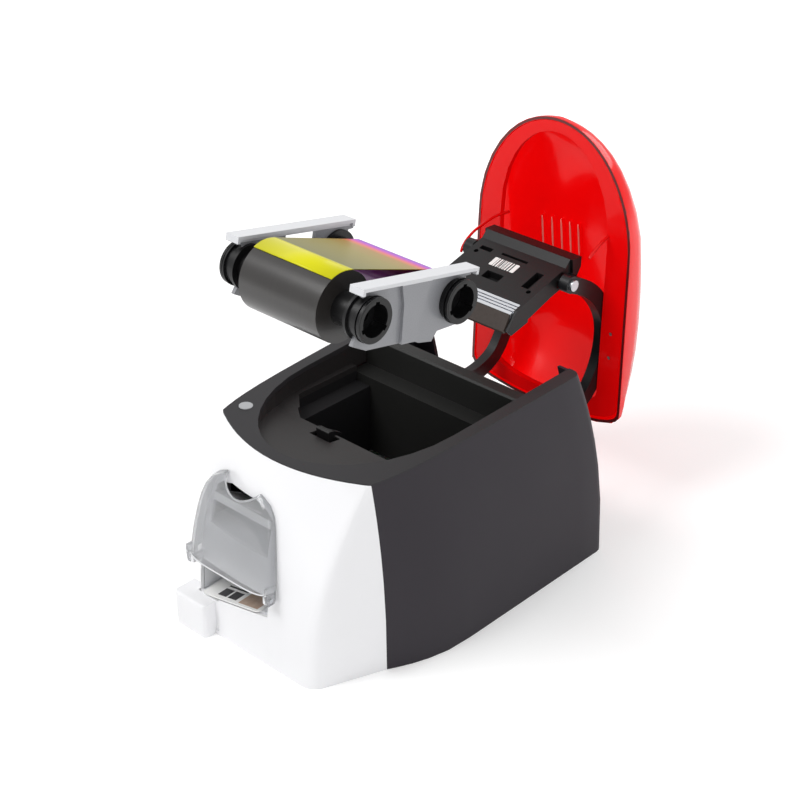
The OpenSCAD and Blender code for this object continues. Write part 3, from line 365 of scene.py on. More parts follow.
steel = metal("turned_steel", (196, 198, 202), 0.3)
plate_zinc = metal("zinc_plate", (182, 186, 190), 0.38, ROLLED_MARKS)
motor_steel = metal("motor_can", (150, 152, 158), 0.34)
sink_alu = metal("sink_aluminium", (212, 214, 218), 0.28)
bronze = metal("sintered_bronze", (176, 138, 84), 0.45)
brass = metal("brass", (202, 168, 92), 0.32)
rubber = soft_skin("roller_rubber", (38, 38, 40))
pad_rubber = soft_skin("pad_rubber", (28, 28, 28), 0.8)
acetal = soft_skin("gear_acetal", (224, 223, 212), 0.4, 500.0, 0.05)
head_black = soft_skin("head_black", (10, 9, 10), 0.42, 1800.0, 0.12)
arm_black = soft_skin("arm_black", (18, 18, 20), 0.34, 1200.0, 0.08)
spool_black = soft_skin("spool_black", (10, 10, 11), 0.34, 1500.0, 0.06)
switch_black = soft_skin("switch_black", (16, 16, 17), 0.4, 1500.0, 0.06)
button_grey = soft_skin("button_grey", (158, 160, 162), 0.4, 1400.0, 0.05)
card_white = soft_skin("card_white", (240, 240, 240), 0.25, 60.0, 0.02)
ceramic = soft_skin("print_ceramic", (58, 50, 46), 0.2, 400.0, 0.05)
print("metals and small plastics:", steel.name, bronze.name, rubber.name, acetal.name)

# %% [markdown]
# ## Coloured and clear plastics
# The cover is polycarbonate tinted red in the mass. Light goes through it and
# comes back out, so its shader is mostly a glossy red body, with a share of
# tinted glass and a weak glow for the light that is caught inside. The edges of
# such a cover look darker, because more plastic lies behind them, and Layer
# Weight gives that without a second mesh. The feeder lid is the same idea in
# smoke grey. The sheets stay thin, so a low index keeps the view straight.

# %% Coloured and clear plastics
def tinted(name, shade, edge, through, rough, coat, glow):
    finish = Finish(name, rgb(*shade), Roughness=rough, Transmission_Weight=through, IOR=1.18,
                    Coat_Weight=coat, Coat_Roughness=0.05, Emission_Strength=glow,
                    Emission_Color=rgba(*shade))
    rim = finish.add("ShaderNodeLayerWeight", inputs={"Blend": 0.35}, output=1)
    flow = finish.noise(9.0, 2.0)
    body = finish.blend(flow * 0.5, rgba(*shade), rgba(*(max(c - 22, 0) for c in shade)))
    finish.feed("Base Color", finish.blend(rim * rim, body, rgba(*edge)))
    finish.grain(finish.noise(45.0, 1.0), 0.04, 0.6 * MM)
    return finish.material


cover_red = tinted("cover_red", (240, 5, 8), (104, 1, 4), through=0.28, rough=0.16, coat=0.2, glow=0.24)
rim_red = tinted("rim_red", (226, 5, 8), (92, 1, 4), through=0.15, rough=0.2, coat=0.18, glow=0.18)
clip_red = tinted("clip_red", (214, 10, 12), (110, 4, 8), through=0.1, rough=0.2, coat=0.3, glow=0.15)
smoke = tinted("smoked_clear", (204, 205, 207), (92, 93, 96), through=0.8, rough=0.08, coat=0.5, glow=0.05)
line_red = Finish("line_red", rgb(84, 2, 5), Roughness=0.4).material
# pale pink: a painted highlight for the light that the dome's ribs catch
painted_rib_highlight = Finish("painted_rib_highlight", rgb(246, 150, 140), Roughness=0.2, Coat_Weight=0.5).material
# pale grey: a painted highlight for the light that the clear lid's edges gather
lid_edge_highlight = Finish("lid_lip_highlight", rgb(214, 215, 217), Roughness=0.12, Coat_Weight=0.6).material
print("clear plastics:", cover_red.name, smoke.name)

# %% [markdown]
# ## Ribbon film
# Colour film comes as panels one after another. On the stretch between the
# spools a bright yellow panel is followed by a darker one, and then by violet.
# They run across the film, so one coordinate along the film is enough to choose
# the colour. The object's own coordinates are in metres from the printer's
# origin, and a dot product with the film's direction turns them into a distance
# along the film, which a colour ramp reads.

# %% Film
FILM_START, FILM_SPAN = 46.0, 84.0
FILM_COURSE = (0.0, math.cos(CASSETTE_TILT), -math.sin(CASSETTE_TILT))
PANELS = [(0.0, rgb(204, 200, 20)), (0.16, rgb(214, 208, 22)), (0.185, rgb(98, 94, 8)),
          (0.34, rgb(112, 104, 6)), (0.62, rgb(132, 116, 4)), (0.80, rgb(150, 112, 6)),
          (0.86, rgb(204, 100, 60)), (0.90, rgb(198, 40, 140)), (0.95, rgb(148, 16, 190)),
          (1.0, rgb(104, 10, 142))]


def film_finish():
    finish = Finish("colour_film", rgb(200, 190, 30), Roughness=0.34, Specular_IOR_Level=0.2)
    course = (finish.along(CASSETTE_AT, FILM_COURSE) + FILM_START * MM) / (FILM_SPAN * MM)
    finish.feed("Base Color", finish.add("ShaderNodeValToRGB", {"stops": PANELS}, {"Fac": course}))
    finish.grain(finish.noise(1.0, 2.0, (30.0, 90.0, 90.0)), 0.08, 0.5 * MM)
    return finish.material


film_colour = film_finish()
print("film panels run", round(math.degrees(CASSETTE_TILT), 1), "degrees down to the rear")

# %% [markdown]
# ## Rolls and flanges of the cassette
# A wound roll shows fine rings, where its turns lie unevenly. Its noise changes
# quickly along the axis of the roll and slowly round it. The flanges are
# silver-grey plastic, and the wings along their top edge face the light and
# look nearly white. A height measured square to the tilted cassette tells the
# wings from the rest.

# %% Rolls and flanges
WING_HEIGHT = 14.6
CASSETTE_RISE = (0.0, math.sin(CASSETTE_TILT), math.cos(CASSETTE_TILT))


def wound_finish(name, shade, other):
    finish = Finish(name, rgb(*shade), Roughness=0.3, Coat_Weight=0.15, Coat_Roughness=0.15)
    layers = finish.noise(1.0, 3.0, (900.0, 6.0, 6.0))
    finish.feed("Base Color", finish.blend(layers, rgba(*shade), rgba(*other)))
    finish.grain(layers, 0.06, 0.2 * MM)
    return finish.material


def flange_finish():
    finish = Finish("flange_grey", rgb(168, 169, 176), Coat_Weight=0.2)
    fine = finish.noise(1400.0, 3.0)
    wing = finish.along(CASSETTE_AT, CASSETTE_RISE) > WING_HEIGHT * MM
    body = finish.blend(fine, rgba(124, 125, 129), rgba(144, 145, 149))
    finish.feed("Base Color", finish.blend(wing, body, rgba(206, 207, 210)))
    finish.feed("Roughness", 0.36 + fine * 0.12)
    finish.grain(fine, 0.05, 0.15 * MM)
    return finish.material


roll_dark = wound_finish("roll_dark", (30, 28, 27), (40, 37, 35))
roll_violet = wound_finish("roll_violet", (92, 30, 104), (120, 40, 120))
flange_grey = flange_finish()
print("rolls and flanges:", roll_dark.name, roll_violet.name, flange_grey.name)

# %% [markdown]
# ## Printed card
# The card in the bin shows dark blocks and a picture. Both are generic here: dark
# blocks made by comparing coordinates with the edges of a box, and a warm
# cloudy patch where a picture would be. The boxes are given in millimetres from
# the card's front left corner; the card lies on a slope, so the distance across
# it is a little longer than its shadow on the table.

# %% Card print
CARD_LEFT, CARD_FRONT = -46.5, -123.2
CARD_ROLL = math.radians(11.5)
DARK_BOXES = [(12, 20, 3, 11), (21.5, 29.5, 3, 11), (12, 30, 13, 14.5)]
PICTURE_BOX = (33, 51, 2, 26)


def inside(value, low, high):
    return (value > low) * (value < high)


def card_print():
    finish = Finish("card_print", rgb(238, 238, 236), Roughness=0.22, Coat_Weight=0.3)
    across = (finish.axis(0) - CARD_LEFT * MM) / math.cos(CARD_ROLL)
    deep = finish.axis(1) - CARD_FRONT * MM

    def box(left, right, near, far):
        return inside(across, left * MM, right * MM) * inside(deep, near * MM, far * MM)

    dark = box(*DARK_BOXES[0])
    for edges in DARK_BOXES[1:]:
        dark = dark + box(*edges)
    page = finish.blend(dark, rgba(238, 238, 236), rgba(58, 58, 60))
    cloud = finish.blend(finish.noise(160.0, 2.0), rgba(150, 118, 98), rgba(206, 186, 168))
    finish.feed("Base Color", finish.blend(box(*PICTURE_BOX), page, cloud))
    return finish.material


print_card = card_print()
print("card print:", len(DARK_BOXES), "dark boxes and one picture")

# %% [markdown]
# ## Circuit board
# The board is green solder resist with faint copper runs under it. A brick
# texture with thin mortar gives such runs without a drawing: its mortar lines
# are the runs, a little lighter than the rest, with a trace of relief.

# %% Board
def board_finish():
    finish = Finish("solder_resist", rgb(22, 84, 48), Roughness=0.35, Coat_Weight=0.4)
    runs = finish.add("ShaderNodeTexBrick", {"offset": 0.5},
                      {"Vector": finish.place(), "Scale": 140.0, "Mortar Size": 0.03}, output=1)
    finish.feed("Base Color", finish.blend(runs, rgba(22, 84, 48), rgba(46, 118, 66)))
    finish.grain(runs, 0.2, 0.1 * MM)
    return finish.material


board_green = board_finish()
print("board:", board_green.name)

# %% [markdown]
# ## Dressing the solids
# A CAD node keeps its shape and only gets a better finish. Its object carries
# one or more material slots, and each is filled with the finish of that piece.
# One table from finish to names keeps this readable.

# %% Give every solid its finish
DRESS = {
    white_front: ["front_cover"],
    white_inside: ["bin_liner", "feeder_tray"],
    side_grey: ["side_shell"],
    deck_grey: ["deck_frame"],
    well_grey: ["well_liner"],
    shelf_grey: ["rear_shelf"],
    tray_black: ["base_tray"],
    pad_rubber: ["rubber_feet"],
    plate_zinc: ["chassis_left", "chassis_right"],
    steel: ["tie_rods", "frame_screws", "lid_pins", "small_screws", "platen_shaft", "feed_shaft",
            "idler_studs", "usb_socket", "arm_screws", "hinge_pin"],
    bronze: ["bushings"],
    print_card: ["printed_card"],
    card_white: ["blank_cards"],
    smoke: ["hopper_lid"],
    button_grey: ["power_button"],
    switch_black: ["button_seat", "button_switch", "sensor_bracket", "power_socket"],
    head_black: ["sensor_lever", "head_frame", "head_bar"],
    rubber: ["platen_rubber", "feed_tyre"],
    acetal: ["platen_gear", "feed_gear", "idler_gear_rear", "idler_gear_front", "idler_gear_small"],
    brass: ["motor_pinion"],
    motor_steel: ["drive_motor"],
    board_green: ["circuit_board"],
    spool_black: ["ribbon_hub", "supply_core", "takeup_core"],
    cover_red: ["cover_shell"],
    rim_red: ["cover_rim_plate"],
    arm_black: ["head_arm_left", "head_arm_right"],
    sink_alu: ["heat_sink"],
    ceramic: ["print_edge"],
    flange_grey: ["cassette_flange_left", "cassette_flange_right", "cassette_bar"],
    roll_dark: ["supply_roll"],
    roll_violet: ["takeup_roll"],
    film_colour: ["film_web"],
}
dressed = set()
for finish, names in DRESS.items():
    for name in names:
        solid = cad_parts[name]
        for slot in solid.material_slots:
            slot.material = finish
        if not solid.material_slots:
            solid.data.materials.append(finish)
        dressed.add(name)
print("dressed:", len(dressed), "left over:", sorted(set(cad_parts) - dressed))

# %% [markdown]
# ## Smooth shells
# The shells are many small flat faces, and flat shading would show each one.
# A small geometry node tree joins their corners and shades them smooth, but
# keeps every edge sharper than 25 degrees. It is a modifier, so the vertices of
# the solid stay as the CAD model gave them.

# %% Smooth shells
SHARP_EDGE = math.radians(25)
SAME_CORNER = 0.01 * MM
SHELLS = ["front_cover", "side_shell", "deck_frame", "hopper_lid", "cover_shell", "cover_rim_plate",
          "head_arm_left", "head_arm_right"]


def smoothing_tree():
    tree = bpy.data.node_groups.new("smooth_shell", "GeometryNodeTree")
    for way in ("INPUT", "OUTPUT"):
        tree.interface.new_socket("Geometry", in_out=way, socket_type="NodeSocketGeometry")
    graph = Graph(tree)
    joined = graph.add("GeometryNodeMergeByDistance",
                       inputs={"Geometry": graph.add("NodeGroupInput"), "Distance": SAME_CORNER})
    smooth = graph.add("GeometryNodeSetShadeSmooth", inputs={"Geometry": joined})
    sharp = graph.add("FunctionNodeCompare", {"operation": "GREATER_THAN"},
                      {"A": graph.add("GeometryNodeInputMeshEdgeAngle"), "B": SHARP_EDGE})
    marked = graph.add("GeometryNodeSetShadeSmooth", {"domain": "EDGE"},
                       {"Geometry": smooth, "Selection": sharp, "Shade Smooth": False})
    graph.add("NodeGroupOutput", inputs={"Geometry": marked})
    return tree


smooth_shell = smoothing_tree()
for name in SHELLS:
    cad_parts[name].modifiers.new("smooth_shell", "NODES").node_group = smooth_shell
print("smoothed:", len(SHELLS))

# %% [markdown]
# ## From sections to a piece
# Nearly every added detail is a row of sections joined side by side: a bead is
# a row of circles, a band a row of small rectangles, a label two outlines. So
# one function joins sections into a mesh, and another makes the object, gives
# it its finish, and puts it on the body that carries it.

# %% Sections into pieces
def loft(sections, closed=False):
    """Vertices and faces of equal sections joined in a row."""
    count, around = len(sections), len(sections[0])
    verts = [point for section in sections for point in section]
    faces = []
    for i in range(count if closed else count - 1):
        for j in range(around):
            here, there = i * around, (i + 1) % count * around
            after = (j + 1) % around
            faces.append((here + j, here + after, there + after, there + j))
    if not closed:
        faces.append(tuple(range(around))[::-1])
        faces.append(tuple((count - 1) * around + j for j in range(around)))
    return verts, faces


def piece_from(name, shape, finish, body, smooth=True):
    verts, faces = shape
    mesh = bpy.data.meshes.new(name)
    mesh.from_pydata([tuple(v) for v in verts], [], faces)
    for face in mesh.polygons:
        face.use_smooth = smooth
    work = bmesh.new()
    work.from_mesh(mesh)
    bmesh.ops.recalc_face_normals(work, faces=work.faces)
    work.to_mesh(mesh)
    work.free()
    piece = bpy.data.objects.new(name, mesh)
    bpy.context.collection.objects.link(piece)
    mesh.materials.append(finish)
    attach(piece, body)
    return piece


print("a cube from two squares has", len(loft([range(4), range(4, 8)])[1]), "faces")

# %% [markdown]
# ## A swept bead
# Many small things on a moulded product are a round bead that follows a line:
# the lip of a notch, a rib, a hook. A curve object with a bevel could do it,
# but a mesh gives control of the section at each point. The frame along the
# path is carried from point to point, so that it never flips.

# %% Swept beads
def bead(name, path, radii, finish, body, around=10, closed=False):
    count = len(path)
    if isinstance(radii, float):
        radii = [radii] * count
    side = None
    sections = []
    for i, point in enumerate(path):
        ahead = path[(i + 1) % count] if closed else path[min(i + 1, count - 1)]
        behind = path[i - 1] if closed else path[max(i - 1, 0)]
        run = (ahead - behind).normalized()
        if side is None:
            side = run.orthogonal().normalized()
        side = (side - run * side.dot(run)).normalized()
        up = run.cross(side)
        turns = [2 * math.pi * j / around for j in range(around)]
        sections.append([point + radii[i] * MM * (math.cos(t) * side + math.sin(t) * up) for t in turns])
    return piece_from(name, loft(sections, closed), finish, body)


def curve_through(points, steps):
    """Points of a smooth open curve through the given ones (Catmull-Rom)."""
    last = len(points) - 1
    out = []
    for i in range(last):
        a, b, c, d = [points[min(max(i + k, 0), last)] for k in (-1, 0, 1, 2)]
        for j in range(steps):
            t = j / steps
            out.append(0.5 * (2 * b + (c - a) * t + (2 * a - 5 * b + 4 * c - d) * t * t
                              + (3 * b - a - 3 * c + d) * t * t * t))
    return out + [points[-1]]


print("bead helper is ready")

# %% [markdown]
# ## Outline of the cover
# Seen from its rim the cover is a long oval: a round nose, sides that widen a
# little, and a blunt tail. The same rule gives the rim and the opening inside
# it, where the dome begins. Stops along the oval lie closer at both ends, where
# the line bends most.

# %% Ovals of the rim
HALF_W, LENGTH, NOSE = 65.5, 213.0, -11.4
NOSE_LENGTH, TAIL_ROUND, WIDENING = 84.7, 15, 0.012
TAIL_IN_POWER, TAIL_OUT_POWER = 2.4, 2.2
RIM_STEPS, FOLD_STEPS = 44, 40


def eased(total, steps):
    return [total * (1 - math.cos(math.pi * i / steps)) / 2 for i in range(steps + 1)]


def nose_round(s, lead):
    v = min(1.0, s / lead)
    return math.sqrt(1 - (1 - v) ** 2)


def tail_round(s, total, radius):
    v = max(0.0, (s - total + radius) / radius)
    return max(0.0, 1 - v ** TAIL_IN_POWER) ** (1 / TAIL_OUT_POWER)


def rim_half(s):
    """Half the width of the rim at distance s behind the nose."""
    straight = HALF_W * nose_round(s, NOSE_LENGTH) + WIDENING * max(0.0, s - NOSE_LENGTH)
    return straight * tail_round(s, LENGTH, TAIL_ROUND)


def both_sides(right, z):
    loop = right + [(-x, y) for x, y in right[-2:0:-1]]
    return [at_rim(x, y, z) for x, y in loop]


def rim_line(inset, z):
    """Closed line round the rim, drawn inwards by inset."""
    scale = (HALF_W - inset) / HALF_W
    span = LENGTH - 2 * inset
    return both_sides([(rim_half(s) * scale, NOSE + inset + s * span / LENGTH)
                       for s in eased(LENGTH, RIM_STEPS)], z)


def fold_line(half_w, start, end, lead, tail, z):
    """Closed line where the dome rises from the rim."""
    total = end - start
    return both_sides([(half_w * nose_round(s, lead) * tail_round(s, total, tail), start + s)
                       for s in eased(total, FOLD_STEPS)], z)


print("cover nose stands at", [round(v, 4) for v in at_rim(0, NOSE, 0)])

# %% [markdown]
# ## Dark lines of the cover
# From the inside the cover shows a dark line all round, where the eye looks
# along the thickness of the plastic, and a second one where the inner fold
# rises. The outer one is a flat band that lies in the face of the rim and
# stands proud by a tenth of a millimetre, so that the shut cover still clears
# the deck. The inner one is a round bead.

# %% Edge band and fold
BAND_IN, BAND_OUT, BAND_PROUD, BAND_DEPTH = 2.1, 0.3, 0.12, 0.6
FOLD_RADIUS = 0.9
edge_band = [rim_line(BAND_OUT, -BAND_PROUD), rim_line(BAND_OUT, BAND_DEPTH),
             rim_line(BAND_IN, BAND_DEPTH), rim_line(BAND_IN, -BAND_PROUD)]
piece_from("cover_edge_line", loft(list(zip(*edge_band)), closed=True), line_red,
           "cover", smooth=False)
fold = fold_line(half_w=47.2, start=-2.2, end=190.0, lead=66, tail=14, z=4.5)
bead("cover_fold_line", fold, FOLD_RADIUS, line_red, "cover", closed=True)
print("edge band is", round(BAND_IN - BAND_OUT, 1), "mm wide")

# %% [markdown]
# ## Painted highlights on five ribs
# Above the head five slim ribs inside the dome catch the light. A pale pink bead
# along each is that light, a painted highlight. The beads follow the inner face
# of the dome. Its height over the rim grows from the nose, is greatest two thirds
# of the way back, and falls to nothing at the sides. The rises are the same as in
# the CAD.

# %% Painted rib highlights
RISE = [(0, 4), (3, 9.2), (7, 13.6), (12, 17.6), (19, 21.8), (28, 25.6), (40, 29.6), (55, 34), (72, 38.6),
        (92, 43), (114, 46.5), (136, 47.3), (156, 44.6), (172, 38.2), (184, 31), (193, 24)]
COVER_TOP, SIDE_POWER, DOME_POWER = 47.3, 0.84, 0.42
RIB_COUNT, RIB_PITCH, RIB_LEFT = 5, 7.1, -34.85
RIB_FRONT, RIB_RUN, RIB_INSET = 77.2, 26.4, 5.2
RIB_SIZES = [0.35, 0.6, 0.7, 0.7, 0.7, 0.7, 0.7, 0.6, 0.3]


def dome_z(x, y, inset):
    """Height of the dome over the rim, with its face inset all round."""
    s = (y - NOSE - inset) * LENGTH / (LENGTH - 2 * inset)
    top = next(low[1] + (high[1] - low[1]) * (s - low[0]) / (high[0] - low[0])
               for low, high in zip(RISE, RISE[1:]) if s <= high[0])
    part = min(1.0, abs(x) / (rim_half(s) * (HALF_W - inset) / HALF_W)) ** (1 / SIDE_POWER)
    return top * (COVER_TOP - inset) / COVER_TOP * (1 - part * part) ** DOME_POWER


# each bead is a painted highlight along one rib of the dome
for i in range(RIB_COUNT):
    x = RIB_LEFT + RIB_PITCH * i
    last = len(RIB_SIZES) - 1
    ys = [RIB_FRONT + RIB_RUN * k / last for k in range(last + 1)]
    points = [at_rim(x, y, dome_z(x, y, RIB_INSET)) for y in ys]
    bead(f"cover_rib_highlight_{i + 1}", points, RIB_SIZES, painted_rib_highlight, "cover", around=8)
print("dome stands", round(dome_z(0, RIB_FRONT, RIB_INSET), 1), "mm over the rim at the ribs")

# %% [markdown]
# ## Hooks beside the head
# Two curled hooks, red like the cover, reach from it to both sides of the head.
# Their points are in millimetres with the cover shut, beside the arms, and are
# swung open like everything else on the cover. A few points and a smooth curve
# through them are enough.

# %% Hooks
HOOKS = {
    "hook_left": [(-45.4, 70.4, 147), (-46.2, 70.6, 132), (-46.3, 74.4, 114.5),
                  (-46.3, 78.0, 106.5), (-46.3, 82.6, 101.0), (-46.2, 87.2, 98.6)],
    "hook_right": [(45.4, 57.5, 147), (46.2, 58.4, 139), (46.3, 61.0, 131.5),
                   (46.3, 65.2, 124.0), (46.2, 69.0, 119.0)],
}
HOOK_RADIUS, HOOK_TIP = 1.0, 0.6
for name, stops in HOOKS.items():
    path = curve_through([at_swung(*stop) for stop in stops], 5)
    bead(name, path, [HOOK_RADIUS] * (len(path) - 1) + [HOOK_TIP], clip_red, "cover")
print("hooks:", list(HOOKS))

# %% [markdown]
# ## Label on the print head
# The head's black face carries a white label with plain bars of no meaning. It
# is a thin plate with rounded corners, a little above the face. Its bars are
# part of the finish: noise in one dimension, read along the label and cut at a
# threshold, gives bars of uneven width.

# %% Label
LABEL_LEFT, LABEL_RIGHT, LABEL_LOW, LABEL_HIGH = -13.0, 8.0, 88.0, 96.0
LABEL_CORNER, LABEL_BACK, LABEL_FACE = 0.8, 0.02, 0.16
BAR_MARGIN, BAR_SCALE = 2.5, 900.0
HEAD_FACE_Y, HEAD_FACE_Z, HEAD_FACE_SLOPE = 75.8, 108, 0.3238
HEAD_NORMAL_Y, HEAD_NORMAL_Z = -0.951, -0.308


def label_finish(start):
    finish = Finish("label_bars", rgb(232, 232, 230), Roughness=0.35)
    along = finish.along(start, (1.0, 0.0, 0.0))
    steps = finish.add("ShaderNodeTexNoise", {"noise_dimensions": "1D"},
                       {"W": along * BAR_SCALE, "Scale": 1.0, "Detail": 0.0})
    last = LABEL_RIGHT - LABEL_LEFT - BAR_MARGIN
    bars = (steps > 0.52) * inside(along, BAR_MARGIN * MM, last * MM)
    finish.feed("Base Color", finish.blend(bars, rgba(236, 236, 234), rgba(40, 40, 42)))
    return finish.material


def on_head(x, z, lift=0.0):
    """Point on the sloping front face of the head, z in the closed position."""
    return at_swung(x, HEAD_FACE_Y + (HEAD_FACE_Z - z) * HEAD_FACE_SLOPE + lift * HEAD_NORMAL_Y,
                    z + lift * HEAD_NORMAL_Z)


def label_outline(lift):
    right, left = LABEL_RIGHT - LABEL_CORNER, LABEL_LEFT + LABEL_CORNER
    high, low = LABEL_HIGH - LABEL_CORNER, LABEL_LOW + LABEL_CORNER
    ring = []
    for x, z, start in ((right, high, 0), (left, high, 90), (left, low, 180), (right, low, 270)):
        for k in range(5):
            turn = math.radians(start + 22.5 * k)
            ring.append(on_head(x + LABEL_CORNER * math.cos(turn), z + LABEL_CORNER * math.sin(turn), lift))
    return ring


label_start = on_head(LABEL_LEFT, (LABEL_LOW + LABEL_HIGH) / 2)
piece_from("head_label", loft([label_outline(LABEL_BACK), label_outline(LABEL_FACE)]),
           label_finish(label_start), "cover", smooth=False)
print("label lies at", [round(v, 4) for v in label_start])

# %% [markdown]
# ## Film over the front roll
# The film doesn't start at the roll's top line: it comes off the winding
# further down and wraps over it. A thin curved sheet stands for the last turn,
# just above the roll, with the same panel colours as the flat stretch. It
# begins where the flat film touches the roll, which follows from the two radii
# and the distance between the spools.

# %% Wrap of film on the front roll
FRONT_SPOOL, ROLL_R, USED_ROLL_R, SPOOL_GAP = -35.35, 20.4, 11.0, 70.7
FILM_HALF, WRAP_OVER, WRAP_UNDER = 29.7, 0.6, 0.1
WRAP_DEGREES, WRAP_STEPS = 42.0, 14


def wrap_point(x, degrees, lift):
    turn = math.radians(degrees)
    radius = ROLL_R + lift
    return at_cassette(x, FRONT_SPOOL + radius * math.sin(turn), radius * math.cos(turn))


touch = math.degrees(math.asin((ROLL_R - USED_ROLL_R) / SPOOL_GAP))
wrap = []
for k in range(WRAP_STEPS + 1):
    degrees = touch - WRAP_DEGREES * k / WRAP_STEPS
    wrap.append([wrap_point(-FILM_HALF, degrees, WRAP_OVER), wrap_point(FILM_HALF, degrees, WRAP_OVER),
                 wrap_point(FILM_HALF, degrees, WRAP_UNDER), wrap_point(-FILM_HALF, degrees, WRAP_UNDER)])
piece_from("film_wrap", loft(wrap), film_colour, "supply_spool")
print("wrap covers", WRAP_DEGREES, "degrees of the roll, from", round(touch, 1))

# %% [markdown]
# ## Painted highlight on the lower lip of the feeder lid
# Clear plastic is nearly invisible except at its edges, which gather light. A
# bright bead along the curved lower rim is a painted highlight of that light. Its
# points are found by looking from the front for the lid's surface, so the bead
# always lies on the solid.

# %% Lower lip highlight
LIP_RADIUS = 0.5
LIP_MIDDLE, LIP_HALF, LIP_SQUARE = -15.7, 36.6, 0.42
LIP_Z, LIP_SAG = 59.5, 3.2
LIP_STEPS, LIP_FROM, LIP_SHARE = 40, 0.04, 0.92
VIEW_FROM, VIEW_DEPTH = -90, 58.0
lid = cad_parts["hopper_lid"]


def on_lid(x, z):
    """Nearest point of the lid's outside, seen from the front at x and z."""
    hit, place, *_ = lid.ray_cast(at_machine(x, VIEW_FROM, z), Vector((0, 1, 0)), distance=VIEW_DEPTH * MM)
    return place if hit else None


rim = []
for k in range(LIP_STEPS + 1):
    turn = math.pi * (LIP_FROM + LIP_SHARE * k / LIP_STEPS)
    reach = math.copysign(abs(math.cos(turn)) ** LIP_SQUARE, math.cos(turn))
    place = on_lid(LIP_MIDDLE + LIP_HALF * reach, LIP_Z - LIP_SAG * math.sin(turn))
    if place:
        rim.append(place)
# the bright bead is a painted highlight on the lid's lower rim
bead("lid_lower_lip_highlight", curve_through(rim[::2], 3), LIP_RADIUS, lid_edge_highlight,
     "feeder_lid", around=8)
print("points found on the rim:", len(rim))

# %% [markdown]
# ## Painted highlight on the lip of the thumb notch
# The round notch lets a thumb lift the cards, and its edge gathers light like
# the lower rim; a bright bead paints that highlight. In the CAD a leaning
# cylinder cuts the notch out of the lid, so its edge is where lines along that
# cylinder meet the lid. Each line is tried both ways along the cylinder, and a
# hit is kept only if it lies on the front of the lid.

# %% Notch lip highlight
NOTCH_CENTRE = (-17, -26, 124)
NOTCH_LEAN = math.radians(35)
NOTCH_R, NOTCH_LIP_RADIUS = 17.3, 0.55
NOTCH_START, NOTCH_SWEEP, NOTCH_STEPS = 200, 140, 36
LOOK = 45.0
LID_FRONT_Y = -27
axis = Vector((0.0, -math.sin(NOTCH_LEAN), math.cos(NOTCH_LEAN)))
across = Vector((1, 0, 0))
upward = axis.cross(across).normalized()
notch = []
for k in range(NOTCH_STEPS + 1):
    turn = math.radians(NOTCH_START + NOTCH_SWEEP * k / NOTCH_STEPS)
    start = at_machine(*NOTCH_CENTRE) + NOTCH_R * MM * (math.cos(turn) * across + math.sin(turn) * upward)
    for way in (axis, -axis):
        hit, place, *_ = lid.ray_cast(start - way * LOOK * MM, way, distance=2 * LOOK * MM)
        if hit and place.y < at_machine(0, LID_FRONT_Y, 0).y:
            notch.append(place)
            break
# the bright bead is a painted highlight on the notch's edge
bead("lid_notch_lip_highlight", notch, NOTCH_LIP_RADIUS, lid_edge_highlight, "feeder_lid", around=8)
print("points found on the notch:", len(notch))

# %% [markdown]
# ## Lamps
# A product picture wants broad soft light. Three area lamps do it: a large one
# high in front, a weaker fill from the right, and one from behind that
# separates the dark shell from the background.

# %% Lamps
def area(name, place, target, size, power):
    lamp = bpy.data.lights.new(name, "AREA")
    lamp.shape = "DISK"
    lamp.size = size
    lamp.energy = power
    holder = bpy.data.objects.new(name, lamp)
    holder.location = place
    holder.rotation_euler = (Vector(target) - Vector(place)).to_track_quat("-Z", "Y").to_euler()
    bpy.context.collection.objects.link(holder)
    return holder


area("key", (-0.45, -0.9, 1.5), (0, 0, 0.1), 0.9, 19.0)
area("fill", (1.5, -0.7, 0.8), (0, 0, 0.12), 1.2, 8.0)
area("back", (0.2, 1.4, 1.1), (0, 0, 0.15), 1.0, 12.0)

# %% [markdown]
# ## White world
# The background is white only to rays from the camera, from mirrors and from
# glass. The light that the world sends to surfaces is weaker, so the lamps
# still shape the object. Light Path tells the rays apart.

# %% World
WHITE = (1.0, 1.0, 1.0, 1.0)
SKY_LIGHT, SKY_SEEN = 0.42, 1.0


def seen_by(graph, *rays):
    """1 for the named kinds of ray, and 0 for all others."""
    seen = graph.add("ShaderNodeLightPath", output=f"Is {rays[0]} Ray")
    for ray in rays[1:]:
        more = graph.add("ShaderNodeLightPath", output=f"Is {ray} Ray")
        seen = graph.add("ShaderNodeMath", {"operation": "MAXIMUM"}, {0: seen, 1: more})
    return seen


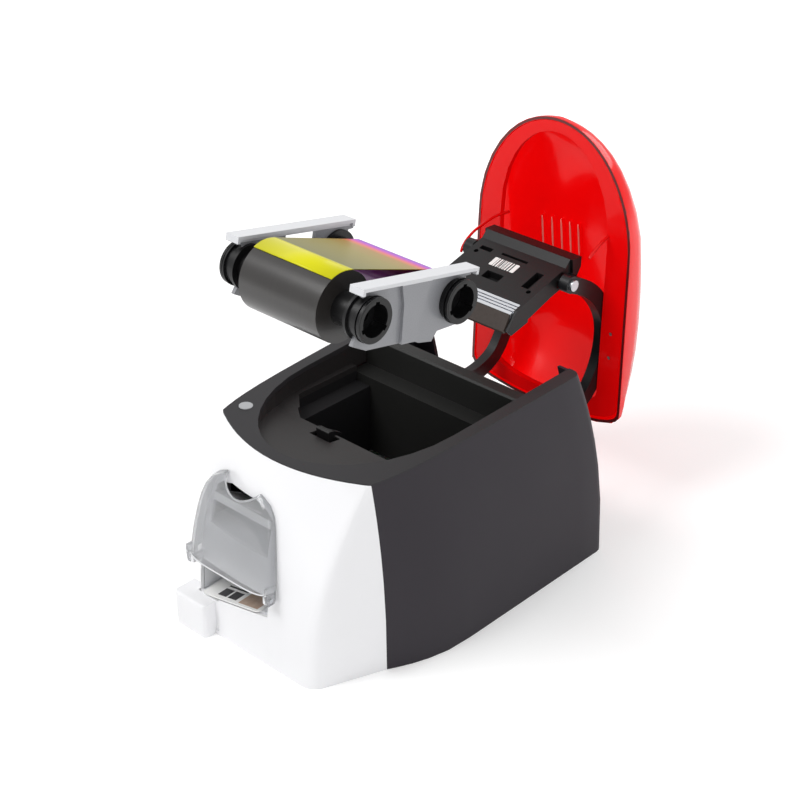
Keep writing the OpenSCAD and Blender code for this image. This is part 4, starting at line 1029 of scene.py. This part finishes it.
world = bpy.data.worlds.new("studio")
bpy.context.scene.world = world
world.use_nodes = True
world.node_tree.nodes.clear()
sky = Graph(world.node_tree)
dim = sky.add("ShaderNodeBackground", inputs={"Color": WHITE, "Strength": SKY_LIGHT})
bright = sky.add("ShaderNodeBackground", inputs={"Color": WHITE, "Strength": SKY_SEEN})
shown = sky.add("ShaderNodeMixShader",
                inputs={0: seen_by(sky, "Camera", "Glossy", "Transmission"), 1: dim, 2: bright})
sky.add("ShaderNodeOutputWorld", inputs={"Surface": shown})
print("world nodes:", len(world.node_tree.nodes))

# %% [markdown]
# ## Floor
# The floor is plain pale paper that keeps the soft shadow. Near the printer it
# only glows a little, so that the shadow stays. Further away the glow rises
# until the floor is as white as the world, and no horizon shows. Only the
# camera and reflections see the glow, so it doesn't light the matt plastics.

# %% Floor
FLOOR_HALF = 6
GLOW = 0.8
GLOW_RANGE = 2.4
GLOW_STOPS = [(0.18, (0.2, 0.2, 0.2)), (0.5, (1.0, 1.0, 1.0))]
corners = [(-FLOOR_HALF, -FLOOR_HALF, 0), (FLOOR_HALF, -FLOOR_HALF, 0),
           (FLOOR_HALF, FLOOR_HALF, 0), (-FLOOR_HALF, FLOOR_HALF, 0)]
floor_mesh = bpy.data.meshes.new("floor")
floor_mesh.from_pydata(corners, [], [(0, 1, 2, 3)])
floor = bpy.data.objects.new("floor", floor_mesh)
bpy.context.collection.objects.link(floor)
paper = Finish("paper_floor", rgb(244, 244, 244), Roughness=0.7)
distance = paper.add("ShaderNodeVectorMath", {"operation": "LENGTH"}, {0: paper.place()}, output=1)
paper.feed("Emission Color", paper.add("ShaderNodeValToRGB", {"stops": GLOW_STOPS},
                                       {"Fac": distance / GLOW_RANGE}))
paper.feed("Emission Strength", seen_by(paper, "Camera", "Glossy") * GLOW)
floor_mesh.materials.append(paper.material)
bpy.context.scene.view_settings.view_transform = "Standard"
print("floor:", 2 * FLOOR_HALF, "m square")

# %% [markdown]
# ## End of the scene
